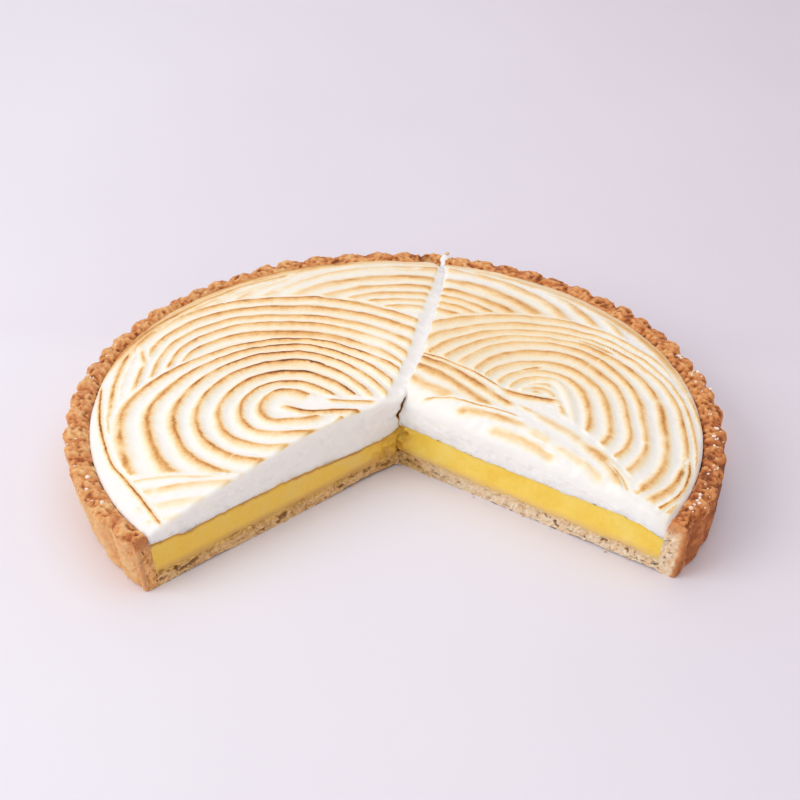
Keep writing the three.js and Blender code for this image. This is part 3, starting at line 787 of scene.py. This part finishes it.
def through(points):
    """A smooth line through points, in steps of about 3 mm."""
    points = np.array(points, float)
    ends = np.vstack((2 * points[0] - points[1], points, 2 * points[-1] - points[-2]))
    spans = []
    for a, b, c, d in zip(ends, ends[1:], ends[2:], ends[3:]):
        steps = max(2, round(np.linalg.norm(c - b) / 3))
        t = np.arange(steps)[:, None] / steps
        spans.append(b + (c - a) * t / 2 + (2 * a - 5 * b + 4 * c - d) * t ** 2 / 2
                     + (3 * b - a - 3 * c + d) * t ** 3 / 2)
    return np.vstack((*spans, points[-1:]))


def beside(xy, line):
    """How far points are to the left of a line, how far along it, and which way is left there."""
    line = np.asarray(line, float)
    step = np.diff(line, axis=0)
    length = np.linalg.norm(step, axis=1)
    heading = step / length[:, None]
    away = xy[:, None] - line[:-1]
    along = np.clip(np.einsum("ijk,jk->ij", away, heading), 0, length)
    gap = away - along[..., None] * heading
    rows, nearest = np.arange(len(xy)), np.argmin((gap ** 2).sum(2), axis=1)
    left = np.column_stack((-heading[nearest, 1], heading[nearest, 0]))
    side = (away[rows, nearest] * left).sum(1)
    offset = np.copysign(np.linalg.norm(gap[rows, nearest], axis=1), side)
    return offset, np.concatenate(([0], np.cumsum(length)))[nearest] + along[rows, nearest], left


class Comb:
    """A slice's surface as it is combed and torched. At each point it keeps the ridges' height in mm,
    where the point is between two valleys (as a turn of a circle), how hard the flame caught it, and
    how dark the crest's thin line is."""

    def __init__(self, xy):
        self.xy = xy
        self.height = np.zeros(len(xy))
        self.turn = np.tile((-1.0, 0.0), (len(xy), 1))
        self.facing = np.zeros(len(xy))
        self.torch = np.zeros(len(xy))
        self.dark = np.zeros(len(xy))
        flat = np.column_stack((xy, np.zeros(len(xy))))
        self.sway = lumps(flat, (0.07, 25, 51))
        self.tone = lumps(flat, (1, 21, 55))
        self.patch = lumps(flat, (1, 7, 57))

    def lay(self, rows, part, way, along, mark, share, height, torch, dark):
        """Lay ridges over share of the surface. part is how far a point is off its crest, in widths.
        Each ridge has its own mark, which picks where it is nicked and streaked."""
        cell = np.floor(along / NICK_SPACING)
        chance = np.modf(np.abs(np.sin(cell * 12.99 + mark * 7.23)) * 4375.85)[0]
        nick_at = (cell + 0.2 + 0.6 * np.modf(chance * 17)[0]) * NICK_SPACING
        nick = np.exp(-((along - nick_at) / 0.5) ** 2) * (chance < NICKED) * (height > 0.6)
        patch = self.patch[rows]
        streaks = lumps(np.column_stack((6 * part, along / 9, mark + np.zeros(len(part)))), (0.16, 1, 59))
        turn = np.column_stack((np.cos(2 * pi * part), np.sin(2 * pi * part)))
        rise = height * (0.5 + 0.5 * turn[:, 0]) ** 1.2 * (1 + 0.15 * patch) * (1 - 0.2 * nick)
        heat = torch * (1 + 0.18 * self.tone[rows] + 0.16 * patch + streaks) * (1 - 0.4 * nick)
        for kept, laid in ((self.height, rise), (self.facing, way @ TOWARDS_FRONT_LEFT), (self.torch, heat),
                           (self.dark, dark * (1 + 0.5 * patch))):
            kept[rows] += (laid - kept[rows]) * share
        self.turn[rows] += (turn - self.turn[rows]) * share[:, None]
        self.torch[rows] *= 1 - 1.6 * share * (1 - share)

    def comb(self, swirl, where, height, torch, dark, last, first=0, bent=0):
        """Comb a swirl's rings from first to last over the surface. where is how far inside the combed
        place each point is, and bent is how far the rings are bent sideways there."""
        ring, way, along = swirl_rings(self.xy + np.outer(bent + np.zeros(len(self.xy)), (1, 0)), **swirl)
        ring = ring + self.sway
        where = np.minimum(where, 8 * np.minimum(ring - first + 0.45, last + 0.45 - ring))
        share = smooth(-0.8, 0.8, where + 0.6 * self.patch)
        mark = np.round(ring)
        every = np.arange(len(self.xy))
        self.lay(every, ring - mark, way, along, mark, share, height, torch, dark)

    def stroke(self, points, width, height, torch, dark):
        """One ridge along a smooth line, fading out at both ends."""
        line = through(points)
        low, high = line.min(axis=0) - width, line.max(axis=0) + width
        rows = np.flatnonzero(((self.xy > low) & (self.xy < high)).all(axis=1))
        if len(rows):
            offset, along, way = beside(self.xy[rows], line)
            length = np.linalg.norm(np.diff(line, axis=0), axis=1).sum()
            part = offset / width + 0.5 * self.sway[rows]
            ends = smooth(-1.5, 3 + 0.6 * width, along) * smooth(-1, 3 + 0.6 * width, length - along)
            share = smooth(0.5, 0.40, np.abs(part)) * ends
            self.lay(rows, np.clip(part, -0.5, 0.5), way, along, width, share, height, torch * ends, dark)

    def wipe(self, where):
        """Spread the surface flat and white. where is how far inside the wiped place each point is."""
        share = smooth(-1, 1, where + 0.5 * self.patch)
        self.height *= 1 - (1 - SMEARED) * share
        self.turn += ((-1.0, 0.0) - self.turn) * share[:, None]
        self.torch *= 1 - share


def around(xy, x, y, size):
    """1 at a place, and falling away round it over size mm."""
    return np.exp(-((xy[:, 0] - x) ** 2 + (xy[:, 1] - y) ** 2) / size ** 2)


def comb_left(surface):
    """Comb and torch the left slice: back arcs, wide arcs, the big swirl, the plain band along the rim
    and single strokes. Gives back how browned its valleys are."""
    xy = surface.xy
    x, y = xy.T
    radius, angle = polar(xy)
    groove = smooth(-60, 0, x)
    surface.comb(BACK_ARCS, COMBED - radius, 1.0, 0.42 + 0.22 * groove, 0.15 * groove, last=11, first=4)
    wide = 0.68 + 0.1 * around(xy, -50, 60, 40) - 0.3 * around(xy, -11, 38, 9)
    surface.comb(WIDE_ARCS, COMBED - radius, 1.25, wide, 0.25, last=5)
    hot = around(xy, -40, 22, 28)
    everywhere = np.full(len(xy), 99.0)
    surface.comb(BIG_SWIRL, everywhere, 1.5, 0.74 + 0.22 * hot, 0.35 + 0.6 * hot, last=7)
    surface.wipe(np.minimum(x + 41 - 0.6 * (y + 16), 7.8 - np.abs(y + 16)))
    surface.wipe(-beside(xy, SMEAR_BORDER)[0])
    margin = np.interp(np.degrees(angle) % 360, (150, 168, 188, 202, 210, 216, 224),
                       (125, 124, 121.5, 119.6, 118, 117.8, 119))
    surface.wipe(radius - margin)
    for points, width, height, torch, dark in LEFT_STROKES:
        surface.stroke(points, width, height, torch, dark)
    golden = smooth(119.5, 125.5, radius) * smooth(10, 45, y) * (0.6 + 0.4 * smooth(10, -30, x))
    return 0.8 * around(xy, -45, 24, 30) + 0.6 * smooth(10, 80, y) + 2.0 * golden


def comb_right(surface):
    """Comb and torch the right slice: back arcs, the swirl, strokes across the point and the smears.
    Gives back how browned its valleys are."""
    xy = surface.xy
    x, y = xy.T
    radius, _ = polar(xy)
    above = beside(xy, INNER_BORDER)[0]
    beyond = beside(xy, OUTER_BORDER)[0]
    surface.comb(BACK_ARCS, COMBED - radius, 1.1, 0.6 + 0.12 * smooth(40, 0, x), 0.1, last=11, first=4)
    ring = swirl_rings(xy, **RIGHT_SWIRL)[0]
    strong = 0.48 + 0.14 * np.exp(-((ring - 4) / 0.6) ** 2) * smooth(70, 50, x) + 0.22 * smooth(62, 84, x)
    strong *= 1 - 0.7 * smooth(1.6, 1.2, ring) * smooth(62, 68, x)
    hook = 4.5 * np.clip(1 - beyond / 24, 0, 1) ** 2 * smooth(-10, -50, y)
    surface.comb(RIGHT_SWIRL, np.where(x < 64, above + 1, beyond), 1.25, strong, 0.2, last=9, bent=hook)
    surface.wipe(np.minimum(-above, -beyond))
    for points, width, height, torch, dark in RIGHT_STROKES:
        surface.stroke(points, width, height, torch, dark)
    golden = smooth(119, 125.5, radius) * smooth(8, 60, y)
    return 0.7 * smooth(-30, 30, y) * smooth(112, 90, radius) + 0.3 * around(xy, 40, 60, 40) + 2.2 * golden


def dome(radius):
    """Height of the valleys between the ridges."""
    return VALLEY_EDGE + (VALLEY_MIDDLE - VALLEY_EDGE) * (1 - (radius / 127) ** 3)


def meringue_radius(angle):
    """Where the meringue ends: spread out to the rim, and a little over it at the back and the front."""
    back = smooth(0.0, 0.6, np.sin(angle)) * (1.6 - 1.4 * smooth(-0.3, 0.5, np.cos(angle)))
    return WELL_TOP - 0.2 + back + 0.9 * np.clip(-1.6 * np.sin(angle), 0, 1)


def meringue_fan(side):
    """A flat sheet over one slice, its rows running from the tip to the rim."""
    start, end = slice_cuts(side)
    tip = slice_tip(side)
    columns, rows = FAN[side]
    select_none()
    bpy.ops.mesh.primitive_grid_add(x_subdivisions=columns, y_subdivisions=rows, size=1)
    piece = bpy.context.object
    piece.name = piece.data.name = f"meringue_top_{side}"
    cell = corners(piece) * MM + 0.5
    turn = start.angle + (end.angle - start.angle) * cell[:, 0]
    heading = np.column_stack((np.cos(turn), np.sin(turn)))
    rim = np.full(len(cell), WELL_TOP)
    for _ in range(4):
        middle = heading @ tip
        length = -middle + np.sqrt(middle ** 2 - tip @ tip + rim ** 2)
        reach = tip + heading * length[:, None]
        rim = meringue_radius(polar(reach)[1])
    xy = tip + heading * (length * cell[:, 1])[:, None]
    place(piece, np.column_stack((xy, np.zeros(len(xy)))))
    return piece


def draw_down(piece):
    """Draw the open edge of a flat sheet down in steps of 1 mm, and close it underneath."""
    select_only(piece)
    bpy.ops.object.mode_set(mode="EDIT")
    bpy.ops.mesh.select_all(action="SELECT")
    bpy.ops.mesh.remove_doubles(threshold=WELD)
    bpy.ops.mesh.select_mode(type="EDGE")
    bpy.ops.mesh.select_all(action="DESELECT")
    bpy.ops.mesh.select_non_manifold(extend=False)
    for _ in range(DRAW_STEPS):
        bpy.ops.mesh.extrude_region_move(TRANSFORM_OT_translate={"value": (0, 0, -MM)})
    bpy.ops.mesh.edge_face_add()
    bpy.ops.mesh.select_mode(type="VERT")
    bpy.ops.object.mode_set(mode="OBJECT")
    mend_normals(piece)


def knife_marks(side, xy, patch):
    """How far the knife and gravity lowered the surface, and how much of the combing is left."""
    first, last = inside_cuts(side, xy)
    along = from_tip(side, xy)
    radius, angle = polar(xy)
    if side == "left":
        width = np.interp(along, (0, 30, 70, 130), (5.0, 4.4, 3.9, 2.9)) * (1 + 0.12 * patch)
        lowered = 1.8 * smooth(width + 2, 0.4 * width, first)
        kept = smooth(0, 0.8, first - width)
        lowered += 1.0 * rounded(last, 1.2)
    else:
        ragged = 1 + 0.35 * patch
        lowered = 1.0 * rounded(last, 1.4)
        kept = smooth(0, 0.7, last)
        lowered += 3.0 * np.clip(1 - first / (11 * ragged), 0, 1) ** 2 + 4.5 * rounded(first, 5 * ragged)
        lowered += 2.5 * smooth(110, 124, along) * np.clip(1 - first / 12, 0, 1)
        kept *= smooth(0.2, 2.4, first)
    near_rim = meringue_radius(angle) - radius
    behind = smooth(-0.1, 0.6, np.sin(angle))
    lowered += (2.4 - 1.4 * behind) * rounded(near_rim, 3.0)
    return lowered, kept


def close_groove(side, xyz):
    """Press the two slices' meringue together along the back cut. The knife's blade leant, so higher up
    the left slice reaches over the right one. At the point they stay a little apart."""
    start, end = slice_cuts(side)
    first, last = inside_cuts(side, xyz[:, :2])
    gap, across, sign = (first, start.across, -1) if side == "left" else (last, end.across, 1)
    along = from_tip(side, xyz)
    leant = np.interp(along, (0, 8, 30, 90, 130), (1.0, 2.6, 5.2, 5.4, 6.2)) * smooth(20, 33, xyz[:, 2])
    overlap = 0.5 * KERF + 0.3 - 0.57 * smooth(3.5, 1.5, along) * smooth(22, 25, xyz[:, 2])
    push = -leant * np.clip(1 - gap / 16, 0, 1) + sign * overlap * np.clip(1 - gap / 4, 0, 1)
    return xyz[:, :2] + across * push[:, None]


def torched_meringue():
    """Torched Italian meringue: satin white foam that glows, with soft toffee bands on the ridges. The
    hottest ridges have a thin dark line just past the crest, on their back-right side."""
    material, tree = new_material("torched_meringue")
    where = node(tree, "TexCoord", output="Object")
    # Clouds of 6 mm, foam of 2.2 mm and fine bubbles of 0.9 mm.
    cloud, foam, fine = (
        node(tree, "TexNoise", None, {"Vector": where, "Scale": 1 / size, "Detail": detail})
        for size, detail in ((0.006, 4.0), (0.0022, 3.0), (0.0009, 3.0)))
    torch, halo, dark = (node(tree, "Attribute", {"attribute_name": name}, output="Fac")
                         for name in ("torch", "halo", "dark"))
    # How far each spot is off its ridge's crest, -0.5 to 0.5 from valley to valley, frayed a little.
    comb = node(tree, "Attribute", {"attribute_name": "comb"}, output="Vector")
    cosine, sine, facing = (node(tree, "SeparateXYZ", None, {0: comb}, axis) for axis in "XYZ")
    part = node(tree, "Math", {"operation": "ARCTAN2"}, {0: sine, 1: cosine})
    part = node(tree, "Math", {"operation": "DIVIDE"}, {0: part, 1: 2 * pi})
    frayed = node(tree, "Math", {"operation": "SUBTRACT"}, {0: foam, 1: 0.5})
    part = node(tree, "Math", {"operation": "MULTIPLY_ADD"}, {0: frayed, 1: 0.16, 2: part})
    # The band is wider on its front-left side, and narrower where the crest's line is dark.
    off = node(tree, "Math", {"operation": "ABSOLUTE"}, {0: part})
    sign = node(tree, "Math", {"operation": "SIGN"}, {0: part})
    width = node(tree, "Math", {"operation": "MULTIPLY"}, {0: sign, 1: facing})
    width = node(tree, "Math", {"operation": "MULTIPLY_ADD"}, {0: width, 1: 0.03, 2: 0.225})
    width = node(tree, "Math", {"operation": "MULTIPLY_ADD"}, {0: dark, 1: -0.11, 2: width})
    behind = node(tree, "Math", {"operation": "MULTIPLY_ADD"}, {0: facing, 1: 0.03, 2: part})
    # Bell curves across the ridge: the toffee band, the pale skirt beside it, and the dark line.
    bells = []
    for distance, wide, power in ((off, width, 2.0), (off, 0.37, 2.5), (behind, 0.08, 2.0)):
        bell = node(tree, "Math", {"operation": "DIVIDE"}, {0: distance, 1: wide})
        bell = node(tree, "Math", {"operation": "POWER"}, {0: bell, 1: power})
        bell = node(tree, "Math", {"operation": "MULTIPLY"}, {0: bell, 1: -1.0})
        bells.append(node(tree, "Math", {"operation": "EXPONENT"}, {0: bell}))
    band, skirt, line = bells
    band = node(tree, "Math", {"operation": "MULTIPLY_ADD"}, {0: skirt, 1: 0.48, 2: band})
    broken = node(tree, "Math", {"operation": "MULTIPLY"}, {0: fine, 1: dark})
    line = node(tree, "Math", {"operation": "MULTIPLY"}, {0: line, 1: broken})
    toast = node(tree, "Math", {"operation": "MULTIPLY_ADD"}, {0: band, 1: 0.37, 2: line})
    # All of it is uneven, and the valleys are slightly tanned where the flame passed close. The same number
    # puts painted shade in the slit at the point.
    uneven = node(tree, "Math", {"operation": "MULTIPLY_ADD"}, {0: cloud, 1: 0.6, 2: 0.55})
    uneven = node(tree, "Math", {"operation": "MULTIPLY_ADD"}, {0: fine, 1: 0.3, 2: uneven})
    toast = node(tree, "Math", {"operation": "MULTIPLY"}, {0: toast, 1: uneven})
    toast = node(tree, "Math", {"operation": "MULTIPLY"}, {0: toast, 1: torch})
    toast = node(tree, "Math", {"operation": "MULTIPLY_ADD"}, {0: halo, 1: 0.13, 2: toast})
    colour = node(tree, "ValToRGB", {"stops": (
        (0.0, "#FCFAF7"), (0.08, "#FDF6EA"), (0.18, "#FBE9CB"), (0.32, "#F3D09B"), (0.46, "#E2B06D"),
        (0.6, "#C98B48"), (0.8, "#96582A"), (1.0, "#6E3F1D"))}, {0: toast})
    relief = node(tree, "Math", {"operation": "MULTIPLY_ADD"}, {0: fine, 1: 0.3, 2: foam})
    bumped = node(tree, "Bump", None, {"Strength": 0.5, "Distance": 0.0006, "Height": relief})
    shader = node(tree, "BsdfPrincipled", None, {
        "Base Color": colour, "Normal": bumped, "Roughness": 0.55, "IOR": 1.42,
        "Subsurface Weight": 0.6, "Subsurface Radius": (1.0, 0.92, 0.8), "Subsurface Scale": 0.004})
    node(tree, "OutputMaterial", None, {"Surface": shader})
    return material


meringue_finish = torched_meringue()

for side in SLICES:
    rng = np.random.default_rng(21 if side == "left" else 22)
    meringue = meringue_fan(side)
    draw_down(meringue)
    xyz = corners(meringue)
    level = -xyz[:, 2] / DRAW_STEPS  # 0 on top, 1 underneath
    flat = xyz * (1, 1, 0)
    first, last = inside_cuts(side, xyz[:, :2])
    radius, angle = polar(xyz)
    to_rim = meringue_radius(angle) - radius
    middle = np.full(len(xyz), VALLEY_MIDDLE)
    surface = Comb(close_groove(side, np.column_stack((xyz[:, :2], middle))))
    tanned = comb_left(surface) if side == "left" else comb_right(surface)
    lowered, kept = knife_marks(side, xyz[:, :2], surface.patch)
    tanned *= kept
    plain = 1.2 * smooth(-5, -20, xyz[:, 1]) if side == "right" else 0  # no ridges at the rim in front
    kept *= smooth(0, 1.5, to_rim - plain)

    # The top is a combed dome, foamy and uneven beside the cuts. The sides go down to the curd, and
    # inside the case they follow its leaning wall.
    foamy = smooth(16, 3, first) if side == "right" else smooth(6, 1, first)
    uneven = lumps(flat, (0.3, 11, 71), (0.12 + 0.3 * foamy, 3.4, 73))
    heaped = HEAP * around(xyz, *HEAPED[side])
    top = dome(radius) + heaped + surface.height * (0.15 + 0.85 * kept) + uneven - lowered
    bottom = curd_edge(side, xyz) - 0.35
    on_cut = (np.minimum(first, last) < ON_CUT) & (level > 0.01)
    xyz[:, 2] = top + (bottom - top) * level
    in_case = (to_rim < 0.5) & (xyz[:, 2] < RIM_HEIGHT - 0.8)
    xyz[:, :2] *= np.where(in_case, (well_radius(xyz[:, 2]) - 0.2) / radius, 1)[:, None]
    xyz[:, :2] = close_groove(side, xyz)
    xyz = wandering(xyz)
    place(meringue, xyz)

    # The cut faces are drawn rough by the knife and full of small bubbles.
    bubbles = rng.uniform(0.25, 0.8, BUBBLES)
    along, height = rng.uniform(3, 124, BUBBLES), rng.uniform(20, 37, BUBBLES)
    pits = pore_depth(from_tip(side, xyz), xyz[:, 2], np.column_stack((along, height, bubbles, bubbles)))
    face = lumps(xyz, (0.45, 7.5, 81), (0.28, 2.8, 83), (0.18, 1.5, 85)) - 0.6 * pits
    ease = smooth(0.0, 0.25, level) * smooth(1.0, 0.93, level) * smooth(0.5, 4, to_rim)
    normal = outward(meringue)
    normal[:, 2] = 0
    place(meringue, xyz + normal * (face * ease * on_cut)[:, None])

    # Only the top is torched. The foot of the cuts is yellowed by the curd, and inside the slit where the
    # two slices part at the point a dark brown is painted in: painted shade.
    on_top = smooth(0.06, 0.0, level)
    foot = smooth(0.90, 1.0, level) * (1.2 + lumps(flat, (1, 5, 87)))
    in_slit = (first if side == "left" else last) < ON_CUT
    # Painted shade inside the slit at the point.
    slit = 6 * in_slit * smooth(5, 4, from_tip(side, flat)) * (level > 0.1)
    paint(meringue, "comb", np.column_stack((surface.turn, surface.facing)))
    paint(meringue, "torch", surface.torch * kept * on_top)
    paint(meringue, "dark", surface.dark)
    paint(meringue, "halo", tanned * on_top + foot * on_cut + slit)
    meringue.data.materials.append(meringue_finish)
    select_only(meringue)
    bpy.ops.object.shade_smooth_by_angle(angle=radians(60))
    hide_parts(f"meringue_{side}")
    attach(meringue, "root")

# ---- Meringue smeared through the rim ----
# A soft lump of meringue that the knife dragged out through the rim, where the back cut leaves the
# tart. It fills the gap there, stands a little proud and was not torched.

SMEAR_HALF = np.array((6.4, 3.0, 2.9))  # along the cut, across it, and upright
SMEAR_MIDDLE = np.array((21.4, 130.6, 23.9))

select_none()
bpy.ops.mesh.primitive_ico_sphere_add(subdivisions=5, radius=1)
smear = bpy.context.object
smear.name = smear.data.name = "meringue_smear"
back_cut = Cut(SLICES["left"][0], 0)
ball = corners(smear) * MM * SMEAR_HALF
ball[:, 1] *= 1 + 0.35 * np.sin(ball[:, 0] / 2.1)
xyz = np.column_stack((ball[:, :2] @ (back_cut.along, back_cut.across), ball[:, 2])) + SMEAR_MIDDLE
place(smear, xyz)
place(smear, xyz + outward(smear) * lumps(xyz, (0.45, 3.5, 91), (0.25, 1.5, 93))[:, None])
smear.data.materials.append(meringue_finish)
select_only(smear)
bpy.ops.object.shade_smooth()
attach(smear, "root")

# ---- Crumbs ----
# Bits of shortcrust that the knife broke off: most lie along the foot of the two cuts in front, a
# few on the curd at the point and on the rim beside the back cut.

CRUMBS = 30
# Single crumbs: x, y and height of the middle, and size.
STRAY_CRUMBS = ((22.6, 134.2, 27.0, 2.2), (12.0, 127.6, 25.2, 1.6), (-1.6, -4.4, 20.6, 1.3),
                (2.4, -4.6, 21.0, 1.2), (0.4, -4.4, 1.2, 2.0), (1.8, -5.0, 0.9, 1.6))


def scatter(name, spots, sizes, seed):
    """One piece of small broken bits, each an uneven stone of 20 faces at its spot."""
    rng = np.random.default_rng(seed)
    bits = []
    for spot, size in zip(spots, sizes):
        select_none()
        bpy.ops.mesh.primitive_ico_sphere_add(subdivisions=1, radius=1)
        bit = bpy.context.object
        stone = corners(bit) * MM
        stone *= 1 + lumps(stone, (0.35, 0.9, rng.uniform(0, 50)))[:, None]
        stone = spot + stone * size / 2 * rng.uniform(0.7, 1.3, 3)
        stone[:, 2] = np.maximum(stone[:, 2], 0.02)  # none dips into the table
        place(bit, stone)
        bits.append(bit)
    select_none()
    for bit in bits:
        bit.select_set(True)
    bpy.context.view_layer.objects.active = bits[0]
    bpy.ops.object.join()
    bits[0].name = bits[0].data.name = name
    return bits[0]


rng = np.random.default_rng(31)
spots, sizes = [], []
for number in range(CRUMBS):
    side = "left" if number % 2 else "right"
    cut = slice_cuts(side)[1 if side == "left" else 0]
    outside = cut.across if side == "left" else -cut.across
    along = 128 * rng.uniform(0, 1) ** 1.4
    size = rng.uniform(0.4, 1.1)
    away = rng.uniform(-0.3, 0.3) + (2.2 * rng.uniform(0, 1) if number % 6 == 0 else 0)
    spots.append(np.array((*slice_tip(side) + cut.along * along + outside * away, size * 0.42)))
    sizes.append(size)
for *spot, size in STRAY_CRUMBS:
    spots.append(np.array(spot))
    sizes.append(size)
crumbs = scatter("shortcrust_crumbs", spots, sizes, 32)
for name, value in (("crumb", 0.9), ("bake", 0.35)):
    paint(crumbs, name, np.full(len(crumbs.data.vertices), value))
crumbs.data.materials.append(shortcrust)
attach(crumbs, "root")

# ---- Sugar on the rim ----
# Coarse sugar that was strewn over the raw pastry and stayed white: most of it is on the front half
# of the right slice's rim.

SUGAR = 75
SUGARED = {"left": (150, 215), "right": (-32, 22)}  # from and to which angle round the rim


def sugar_crystals():
    """Coarse white sugar: half-clear grains whose flat faces glint."""
    material, tree = new_material("coarse_white_sugar")
    where = node(tree, "TexCoord", output="Object")
    # Clouds of 2 mm, so that some grains are more syrupy than others.
    cloud = node(tree, "TexNoise", None, {"Vector": where, "Scale": 1 / 0.002, "Detail": 2.0})
    colour = node(tree, "ValToRGB", {"stops": ((0.35, "#F3DCC6"), (0.6, "#FFF7EE"))}, {0: cloud})
    shader = node(tree, "BsdfPrincipled", None, {
        "Base Color": colour, "Roughness": 0.18, "IOR": 1.54, "Subsurface Weight": 0.3,
        "Subsurface Radius": (1.0, 1.0, 1.0), "Subsurface Scale": 0.0006})
    node(tree, "OutputMaterial", None, {"Surface": shader})
    return material


rng = np.random.default_rng(41)
rims = {side: bpy.data.objects[f"pastry_case_{side}"] for side in SLICES}
spots = []
for number in range(SUGAR):
    side = "left" if number % 6 == 0 else "right"
    turn = radians(rng.uniform(*SUGARED[side]))
    radius = RIM_RADIUS + 1.3 - 6.5 * rng.uniform(0, 1) ** 0.8
    above = Vector((radius * cos(turn) * MM, radius * sin(turn) * MM, 0.05))
    hit, spot, _, _ = rims[side].ray_cast(above, Vector((0, 0, -1)))
    if hit:
        spots.append(np.array(spot) / MM + (0, 0, 0.1))
sizes = 0.7 + 1.5 * rng.uniform(0, 1, len(spots)) ** 2
sugar = scatter("rim_sugar", spots, sizes, 42)
sugar.data.materials.append(sugar_crystals())
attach(sugar, "root")

# ---- Table and backdrop ----
# A lilac-white painted board that sweeps up far behind the tart. The paint is a shade darker behind
# the tart than in front of it, and towards the right painted shade darkens it, where the light falls off.

BOARD = (6, 2.4)  # metres from side to side and from front to back
SWEEP = 0.5  # radius of the bend at the back
BACKDROP = 2.5  # height of the upright part

select_none()
bpy.ops.mesh.primitive_plane_add(size=1)
table = bpy.context.object
table.name = table.data.name = "table"
bpy.ops.object.mode_set(mode="EDIT")
bpy.ops.transform.resize(value=(*BOARD, 1))
bpy.ops.transform.translate(value=(0, -0.6, 0))
bpy.ops.mesh.select_mode(type="EDGE")
bpy.ops.mesh.select_all(action="DESELECT")
bpy.ops.object.mode_set(mode="OBJECT")
for edge in table.data.edges:
    edge.select = all(table.data.vertices[i].co.y > 0 for i in edge.vertices)
bpy.ops.object.mode_set(mode="EDIT")
bpy.ops.mesh.spin(steps=14, angle=-pi / 2, center=(0, 0.6, SWEEP), axis=(1, 0, 0))
bpy.ops.mesh.extrude_region_move(TRANSFORM_OT_translate={"value": (0, 0, BACKDROP)})
bpy.ops.mesh.select_mode(type="VERT")
bpy.ops.object.mode_set(mode="OBJECT")
bpy.ops.object.shade_smooth()


def painted_board():
    """Matt lilac-white paint on board, very slightly clouded, with painted shade towards the right."""
    material, tree = new_material("matt_painted_board")
    where = node(tree, "TexCoord", output="Object")
    cloud = node(tree, "TexNoise", None, {"Vector": where, "Scale": 3.0, "Detail": 3.0})
    front, back = (
        node(tree, "ValToRGB", {"stops": ((0.3, dark), (0.7, light))}, {0: cloud})
        for dark, light in (("#E9E8F3", "#EEEDF7"), ("#E3E0EC", "#E8E5F0")))
    # From and to where it gets darker, backwards and to the right, in metres, and how much: backwards the
    # paint is darker, to the right it is painted shade.
    darkened = 0.0
    for axis, start, end, darker in (("Y", 0.075, 0.10, 0.45), ("X", -0.2, 0.25, 1.7)):
        along = node(tree, "SeparateXYZ", None, {0: where}, axis)
        along = node(tree, "MapRange", None, {
            "Value": along, "From Min": start, "From Max": end, "To Min": 0.0, "To Max": darker})
        darkened = node(tree, "Math", {"operation": "ADD"}, {0: along, 1: darkened})
    colour = node(tree, "Mix", {"data_type": "RGBA", "clamp_factor": False}, {
        0: darkened, 6: front, 7: back}, 2)
    shader = node(tree, "BsdfPrincipled", None, {"Base Color": colour, "Roughness": 0.6})
    node(tree, "OutputMaterial", None, {"Surface": shader})
    return material


table.data.materials.append(painted_board())

# ---- Light and camera ----
# One broad soft light from the left and front, a fill from above, a warm card on the right and a glow
# from all round, seen from in front and above with a long lens.

LIT_PLACE = Vector((0, 0.02, 0.02))
# Name, place and size in metres, power in watts, and colour.
LIGHTS = (
    ("window_left", (-1.3, -0.5, 1.0), 1.2, 14.0, "#FFFCF9"),
    ("fill_above", (0.2, 0.1, 1.7), 1.6, 6.8, "#FFFCF9"),
    ("card_right", (1.35, -0.5, 0.35), 0.8, 2.2, "#FFDAB4"))
GLOW = 0.60
CAMERA_TARGET = (0.00117, 0.0449, 0)
CAMERA_DISTANCE = 0.7238
CAMERA_ELEVATION = radians(33.87)
CAMERA_ROLL = radians(1.35)

for name, place_at, size, power, colour in LIGHTS:
    bpy.ops.object.light_add(type="AREA", location=place_at)
    lamp = bpy.context.object
    lamp.name = lamp.data.name = name
    lamp.data.size = size
    lamp.data.energy = power
    lamp.data.color = linear(colour)[:3]
    lamp.rotation_euler = (LIT_PLACE - Vector(place_at)).to_track_quat("-Z", "Y").to_euler()

world = bpy.data.worlds.new("studio")
world.use_nodes = True
glow = world.node_tree.nodes["Background"].inputs
glow["Color"].default_value = linear("#FAF7F4")
glow["Strength"].default_value = GLOW
bpy.context.scene.world = world
bpy.context.scene.view_settings.view_transform = "Standard"

bpy.ops.object.camera_add()
camera = bpy.context.object
camera.data.lens = 72
camera.data.sensor_width = 36
camera.data.clip_start = 0.01
back = Vector((0, -cos(CAMERA_ELEVATION), sin(CAMERA_ELEVATION)))
camera.matrix_world = (
    Matrix.Translation(Vector(CAMERA_TARGET) + back * CAMERA_DISTANCE)
    @ Matrix.Rotation(pi / 2 - CAMERA_ELEVATION, 4, "X")
    @ Matrix.Rotation(CAMERA_ROLL, 4, "Z"))
bpy.context.scene.camera = camera
